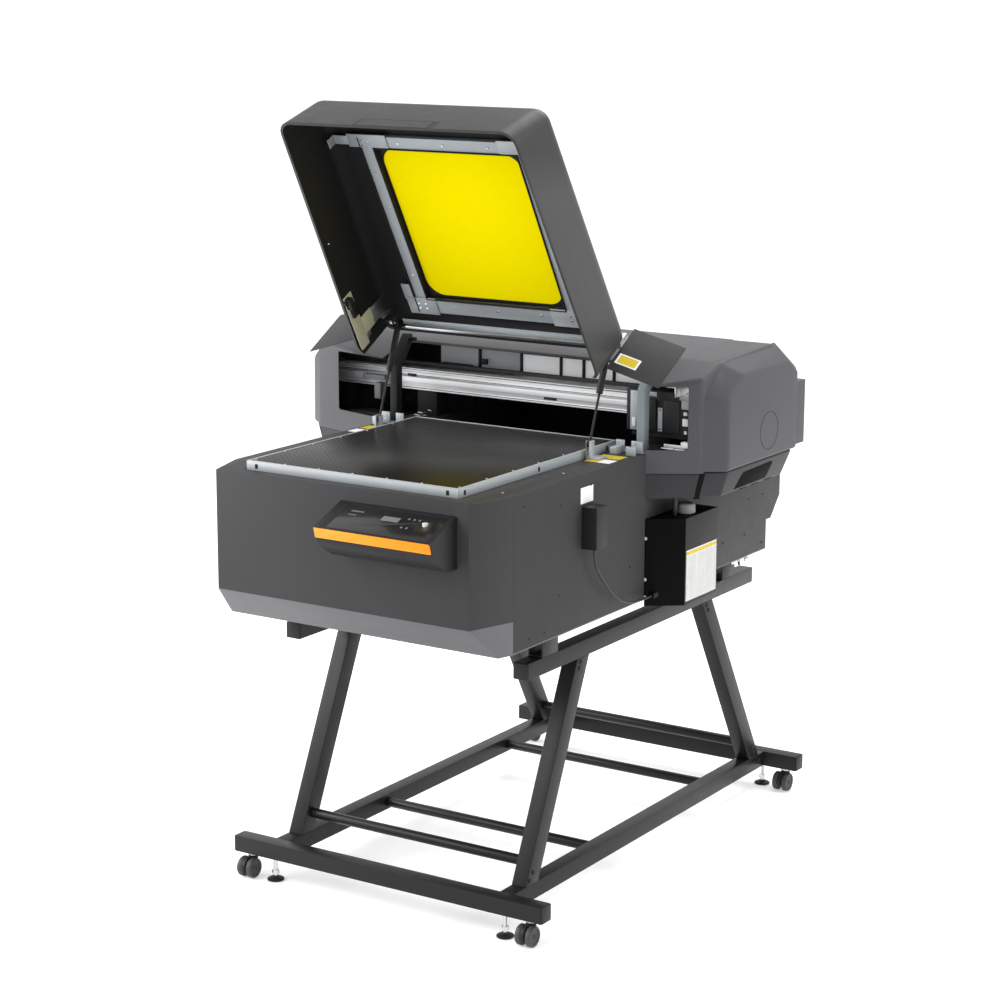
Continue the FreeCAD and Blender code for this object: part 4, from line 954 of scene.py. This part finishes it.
class UVPRINTER_OT_gantry(bpy.types.Operator):
    """Beam, supports, belt, carriage, light panels and wiring"""
    bl_idname = "uv_printer.gantry"
    bl_label = "Gantry"

    def execute(self, context):
        softened("gantry_beam", "alloy", 0.6)
        softened("beam_supports", "inner", 0.8)
        softened("drive_belt", "rubber", 0.2)
        softened("carriage", "black", 2.0, 3)
        ends = [((low, low + 28), (146, 212), (1122, 1184)) for low in (268, -568)]
        self.behind(ends)
        self.carriage_fittings()
        self.bays()
        return {"FINISHED"}

    def behind(self, ends):
        """Light panels with black ribs over the beam, wiring, grooves, sensor and end blocks."""
        panels = ((-90, 20), (28, 87), (95, 175), (183, 262))
        # The light panels and the pale wall glow by emission: painted light.
        cluster("light_panels", "diffuser", [(x, (216, 219), (1184, 1234)) for x in panels], 1)
        cluster("pale_wall", "back_wall", [((-345, -98), (219, 222), (1184, 1242))], 0.6)
        cluster("panel_ribs", "black",
                [((x, x + 6), (211, 224), (1180, 1240)) for x in (-97, 21, 88, 176, -224)]
                + [((-345, 262), (211, 219), (1180, 1186)), ((-212, -196), (206, 216), (1198, 1212)),
                   ((-330, -240), (200, 212), (1184, 1194))], 1)
        on_beam = (148.4, 149.4)
        # beam_bands: a band along the beam in painted shade.
        cluster("beam_bands", "dull_alloy", [((-638, 266), (148.5, 149.4), (1150, 1161))], 0.3)
        cluster("beam_grooves", "seam",
                [((-639, 266), (148.55, 149.4), (z, z + 1.6)) for z in (1129, 1148, 1162, 1176)]
                + [((14, 52), on_beam, (1136, 1150)), ((-402, -374), on_beam, (1150, 1166))], 0.3)
        cluster("encoder_strip", "red", [((-349, -105), (196, 198), (1181, 1186))], 0)
        cluster("beam_end_blocks", "alloy", [(x, (209.5, y[1]), z) for x, y, z in ends]
                + [((266, 287), on_beam, (1124, 1182))], 1.5)
        self.wires()

    def wires(self):
        """Short lengths of wire along the rib and under the beam's left end."""
        tones = {"red": [], "cable": [], "pale": []}
        order = random.Random(7)
        for k in range(30):
            near = k % 3 == 0
            under, behind = ((-352, -328), (96, 136), (1066, 1078)), ((-250, -115), (186, 205), (1183, 1188))
            x, y, z = [order.uniform(*limits) for limits in (under if near else behind)]
            tone = ("red", "cable", "pale", "cable")[order.randrange(4)]
            start = at(x, y, z)
            x, y = x + order.uniform(12, 26), y + order.uniform(-6, 6)
            tones[tone].append((start, at(x, y, z + order.uniform(*((-3, 3) if near else (-1, 3))))))
        for tone, runs in tones.items():
            bm = bmesh.new()
            for start, end in runs:
                spindle(bm, start, end, 1.2 * MM, 8)
            finish_piece("beam_wires_" + tone, bm, tone)

    def carriage_fittings(self):
        """What shows on the front of the parked carriage: plates, connectors and wires."""
        body = "carriage_body"
        back = 89.4
        for name, look, width, boxes in (
                ("plates", "satin", 0.8, (((300, 322), 86, (1100, 1196)), ((376, 388), 86.5, (1102, 1160)),
                                          ((326, 372), 87.4, (1186, 1197)), ((440, 498), 87, (1162, 1198)))),
                ("head_block", "black", 2, (((326, 372), 82, (1104, 1180)),
                                            ((392, 436), 85.5, (1102, 1180)))),
                ("connectors", "pale", 1, (((448, 458), 83, (1148, 1156)), ((446, 461), 82, (1122, 1140)),
                                           ((450, 457), 84, (1102, 1110)), ((470, 494), 82, (1102, 1118)),
                                           ((306, 316), 83.5, (1108, 1130)),
                                           ((326, 340), 80, (1188, 1196))))):
            cluster("carriage_" + name, look, [(x, (front, back), z) for x, front, z in boxes], width, body)
        bm = bmesh.new()
        for k, x in enumerate((449, 453, 457)):
            spindle(bm, at(x, 85.5, 1104 + k), at(x + 2 - k, 85.5, 1160), 1.1 * MM, 8)
        for x in (328, 334, 340, 346):
            spindle(bm, at(x, 83.5, 1104), at(x + 6, 83.5, 1100), 1.2 * MM, 8)
        finish_piece("carriage_wires", bm, "cable", body)
        heads = ((311, 1104), (311, 1190), (382, 1108), (382, 1154), (492, 1190), (470, 1180))
        screws("carriage_screws", [(at(x, 86, z), (0, -1, 0)) for x, z in heads], 2.4, 1.0, body=body)

    def bays(self):
        """Brackets, rails and connectors that show in the two openings of the head."""
        cluster("bay_floor_left", "inner", [((-576, -392), (86, 140), (1052, 1064))], 1)
        cluster("bay_motor_left", "grey_steel",
                [((-478, -458), (104, 130), (1098, 1140)), ((-520, -448), (110, 130), (1146, 1160))], 2)
        cluster("bay_floor_right", "inner", [((392, 493), (86, 140), (1052, 1064))], 1)
        cluster("bay_strips_right", "alloy",
                [((396, 473), (82, 84), (1066, 1074)), ((400, 465), (60, 66), (1066, 1069))], 1)
        cluster("bay_white_right", "pale",
                [((451, 477), (66, 82), (1072, 1086)), ((420, 436), (56, 62), (1066, 1071))], 1.5)
        cluster("bay_bracket_right", "zinc",
                [((441, 489), (74, 76), (1186, 1222)), ((441, 445), (50, 76), (1196, 1222)),
                 ((413, 443), (60, 74), (1216, 1220))])
        heads = [(at(x, 73.6, z), (0, -1, 0)) for x, z in ((463, 1204), (451, 1214))]
        screws("bay_screws_right", heads, 2.8, 1.2)
        cluster("deck_brackets", "satin",
                [(x, y, z) for x in ((312, 335), (354, 384), (-384, -354), (-335, -312))
                 for y, z in (((-2, 1), (1060, 1090)), ((-2, 26), (1060, 1063)))]
                + [((316, 334), (-40, -2), (1060, 1078)), ((358, 384), (-36, -33), (1060, 1082)),
                   ((-384, -358), (-36, -33), (1060, 1082))])
        heads = [(at(x, -2, z), (0, -1, 0)) for x in (320, 330, 366, -320, -366) for z in (1070, 1083)]
        screws("deck_bracket_screws", heads, 2.4, 1.0)


def on_lid(name, bm, look):
    """A piece drawn on the closed lid, carried to the open one."""
    finish_piece(name, bm, look, "lid").data.transform(lid_place())


class UVPRINTER_OT_lid(bpy.types.Operator):
    """Lid shell, window, frame, flaps, brackets, hinge arms and gas struts"""
    bl_idname = "uv_printer.lid"
    bl_label = "Lid"

    def execute(self, context):
        self.shell(context.scene.uv_build)
        softened("lid_window", "window", 0.4)
        second_look(softened("window_frame", "satin", 1.0).data, "inner",
                    lambda face: face.center.x > 216 * MM)
        softened("lid_flaps", "coat", 0.6)
        softened("lid_brackets", "zinc", 0.8)
        second_look(softened("hinge_arms", "inner", 1.4).data, "post", lambda face: face.center.x > CENTRE_X)
        self.fittings()
        for hand in ("left", "right"):
            softened("strut_cylinder_" + hand, "black", 0.8)
            softened("strut_rod_" + hand, "black", 0.4)
        softened("strut_clevises", "satin", 0.6)
        return {"FINISHED"}

    def shell(self, build):
        corners = ((348, 0, 0), (325, LID_SKIN, 0), (348, 0, LID_DEEP), (324, LID_RIM, LID_DEEP))
        bm = solid_hull([lid_at(side * x, u, d) for x, u, d in corners for side in (1, -1)])
        soften(bm, build.lid_round, build.round_steps, 30,
               lambda e: max(v.co.z for v in e.verts) > RIM_Z + 1 * MM)
        bottom = [f for f in bm.faces if all(v.co.z < RIM_Z + 0.5 * MM for v in f.verts)]
        bmesh.ops.delete(bm, geom=bottom, context="FACES")
        piece = finish_piece("lid_shell_finished", bm, "lid_coat", "lid", ("lid_shell",))
        thicken(piece, 7)
        settle(piece)
        cut = bmesh.new()
        bar_between(cut, lid_at(-195, 530, 12), lid_at(205, 90, -8))
        soften(cut, 16 * MM, 5, 30, lambda e: abs((e.verts[0].co - e.verts[1].co).z) > 5 * MM)
        rear = bmesh.new()
        bar_between(rear, lid_at(-341, 12, 170), lid_at(341, -8, 45))
        carved(piece, cut, rear)
        rim = bmesh.new()
        rim.from_mesh(piece.data)
        bmesh.ops.remove_doubles(rim, verts=rim.verts, dist=1e-5)
        soften(rim, 2.4 * MM, 3, 60, lambda e: max(v.co.z for v in e.verts) < RIM_Z + 0.4 * MM)
        rim.to_mesh(piece.data)
        rim.free()
        # Faces turned into the lid take the darker inside look: painted shade.
        middle = lid_at(0, 340, 110)
        second_look(piece.data, "lid_inner", lambda face: face.center.z > RIM_Z + 4 * MM
                    and face.normal.dot(middle - face.center) > 0.02)
        piece.data.transform(lid_place())

    def local(self, name, look, boxes, width=0.8, slot=None):
        """Blocks on the lid, each between two (x, u, d) corners."""
        bm = bmesh.new()
        for first, last in boxes:
            a, b = lid_at(*first), lid_at(*last)
            low = Vector([min(p, q) for p, q in zip(a, b)])
            high = Vector([max(p, q) for p, q in zip(a, b)])
            bar_between(bm, low, high)
        soften(bm, width * MM, 2)
        on_lid(name, bm, look)

    def local_screws(self, name, places, radius):
        bm = bmesh.new()
        for (x, u, d), way in places:
            spot, way = lid_at(x, u, d), Vector(way)
            spindle(bm, spot, spot + way * 1.6 * MM, radius * MM, 14, radius * 0.7 * MM)
        on_lid(name, bm, "chrome")

    def fittings(self):
        """Frame edges and corner plates, rear rail, latch, grip, screws and the flap's label."""
        low, high = 8, 24
        self.local("frame_lips", "inner",
                   [((x, u, low), (x + wide, u + deep, high)) for x, u, wide, deep in
                    ((-197, 88, 3, 444), (204, 88, 3, 444), (-197, 87, 404, 3), (-197, 530, 404, 3),
                     (-233, 48, 3, 514), (240, 48, 3, 514))], 0.5, "aluminium")
        self.local("frame_corners", "satin",
                   [((-262, 534, 20), (-150, 570, 23)), ((-302, 540, 20), (-262, 564, 23)),
                    ((-305, 540, 20), (-302, 564, 46)), ((-258, 42, 20), (-172, 92, 23)),
                    ((160, 42, 20), (262, 92, 23)), ((160, 534, 20), (262, 570, 23)),
                    ((-262, 84, 20), (-236, 130, 22))])
        inward = (0, 0, -1)
        places = [((x + dx, u + du, 22.5), inward) for x in (-214, 224) for u in (68, 546)
                  for dx in (-10, 10) for du in (-7, 7)]
        places += [((x, u, 20), inward) for x in (-214, 224) for u in (160, 260, 360, 460)]
        places += [((x, u, 20), inward) for u in (68, 548) for x in (-120, 5, 130)]
        self.local_screws("frame_screws", places, 3.2)
        self.local("rear_rail", "satin", [((-290, 4, 26), (290, 7, 44)), ((-290, 4, 26), (290, 24, 28))])
        self.local_screws("rear_rail_screws", [((x, 14, 28.2), inward) for x in range(-270, 271, 90)], 3)
        self.local("latch_plate", "beige",
                   [((-337, 176, 122), (-334, 12, 158)), ((-337, 92, 78), (-334, 44, 122))], 0.6)
        self.local("latch_arm", "zinc",
                   [((-336, 90, 20), (-333, 46, 80)), ((-336, 49, 20), (-318, 46, 60))], 0.6)
        self.local("latch_block", "black",
                   [((-334, 172, 140), (-318, 142, 156)), ((-334, 150, 130), (-326, 112, 150)),
                    ((-340, 168, 150), (-326, 158, 163))], 1.6)
        for name, look, across, top, lift in (("front_grip_edge", "seam", (-110, 106), 124, 0.5),
                                              ("front_grip", "lid_coat", (-98, 94), 130, 1.1)):
            points = [lid_at(x, LID_SKIN + 34 * d / LID_DEEP + push, d) for x in across
                      for d in (top, LID_DEEP - 0.1) for push in (-1, lift)]
            on_lid(name, solid_hull(points), look)
        self.mask()
        right = ((553, 19), (529, 15), (143, 112), (35, 45), (17, 35), (13, 81), (25, 117), (330, 140),
                 (60, 150))
        left = ((553, 19), (529, 15), (30, 40), (330, 140))
        walls = [((side * (340.4 - LID_TAPER * u / LID_RIM), u, d), (-side, 0, 0))
                 for side, heads in ((1, right), (-1, left)) for u, d in heads]
        self.local_screws("wall_screws", walls, 3.2)
        self.label()

    def mask(self):
        """Dark edge of the pane, with rounded inner corners."""
        bm = bmesh.new()
        bar_between(bm, lid_at(-200, 536, 9), lid_at(210, 84, 8.2))
        piece = finish_piece("window_mask", bm, "inner", "lid")
        cut = bmesh.new()
        bar_between(cut, lid_at(-189, 524, 12), lid_at(199, 96, 4))
        soften(cut, 44 * MM, 8, 30, lambda e: abs((e.verts[0].co - e.verts[1].co).z) > 5 * MM)
        carved(piece, cut)
        piece.data.transform(lid_place())

    def label(self):
        """A yellow label with a pale border on the right flap's front face."""
        inner, outer = Vector((347.5, -114.4, 0)), Vector((475, -69.4, 0))
        along = (outer - inner).normalized()
        out = Vector((along.y, -along.x, 0))
        for name, look, share, spans, lift in (("label_border", "white", (0.06, 0.47), (-108, -143), 0.5),
                                               ("label_face", "yellow", (0.095, 0.435), (-112, -139), 0.8)):
            points = []
            for f in share:
                for z in spans:
                    for push in (-0.5, lift):
                        p = inner + (outer - inner) * f + out * push
                        points.append(Vector((p.x, p.y, z)) * MM)
            on_lid(name, solid_hull(points), look)


class UVPRINTER_OT_table(bpy.types.Operator):
    """Bed plate, its frame, carrier and guide rails"""
    bl_idname = "uv_printer.table"
    bl_label = "Print table"

    def execute(self, context):
        softened("table_plate", "bed", 0.6)
        softened("table_frame", "alloy_y", 0.6)
        lip = (1078.5, 1080.6)
        wall = (1058, 1079)
        cluster("table_edge", "alloy_y",
                [((-294.5, -292), (-661, 31), wall), ((292, 294.5), (-661, 31), wall),
                 ((-294.5, 294.5), (-661.5, -659), wall), ((-294.5, 294.5), (29, 31.5), wall),
                 ((-294.5, -289), (-661.5, 31.5), lip), ((289, 294.5), (-661.5, 31.5), lip),
                 ((-289, 289), (-661.5, -655), lip), ((-289, 289), (25, 31.5), lip)], 0.5, "table")
        places = [(x, y) for x in (-283, 283) for y in range(-640, 21, 110)]
        places += [(x, y) for x in range(-190, 191, 95) for y in (-650, 20)]
        screws("bed_screws", [(at(x, y, 1080.4), (0, 0, 1)) for x, y in places], 2.6, 0.6, body="table")
        # Thin dark sheets stand for slot openings on the table edge: painted shade.
        cluster("table_slots", "inner", [((x, x + 8), (-661.8, -661.4), (1063, 1074)) for x in (-270, 262)]
                + [((294.4, 294.8), (y, y + 8), (1063, 1074)) for y in (-640, -330, -20)], 0, "table")
        softened("table_carrier", "zinc", 0.8)
        softened("guide_rails", "zinc", 0.8)
        return {"FINISHED"}


OPERATORS = (UVPRINTER_OT_stage, UVPRINTER_OT_finishes, UVPRINTER_OT_cable, UVPRINTER_OT_stand,
             UVPRINTER_OT_casters, UVPRINTER_OT_body, UVPRINTER_OT_control_panel, UVPRINTER_OT_side_units,
             UVPRINTER_OT_head, UVPRINTER_OT_gantry, UVPRINTER_OT_lid, UVPRINTER_OT_table)


class UVPRINTER_PT_panel(bpy.types.Panel):
    """Lists the printer's pieces and settings"""
    bl_idname = "UVPRINTER_PT_panel"
    bl_label = "UV Printer"
    bl_space_type = "VIEW_3D"
    bl_region_type = "UI"
    bl_category = "UV Printer"

    def draw(self, context):
        for operator in OPERATORS:
            self.layout.operator(operator.bl_idname)
        for group in (context.scene.uv_stage, context.scene.uv_finish, context.scene.uv_build):
            for key in group.__annotations__:
                self.layout.prop(group, key)


CLASSES = (StageSettings, FinishSettings, BuildSettings, *OPERATORS, UVPRINTER_PT_panel)


def register():
    for made in CLASSES:
        bpy.utils.register_class(made)
    bpy.types.Scene.uv_stage = PointerProperty(type=StageSettings)
    bpy.types.Scene.uv_finish = PointerProperty(type=FinishSettings)
    bpy.types.Scene.uv_build = PointerProperty(type=BuildSettings)


def unregister():
    del bpy.types.Scene.uv_build
    del bpy.types.Scene.uv_finish
    del bpy.types.Scene.uv_stage
    for made in reversed(CLASSES):
        bpy.utils.unregister_class(made)


def main():
    register()
    for operator in OPERATORS:
        group, name = operator.bl_idname.split(".")
        getattr(getattr(bpy.ops, group), name)()


if __name__ == "__main__":
    main()
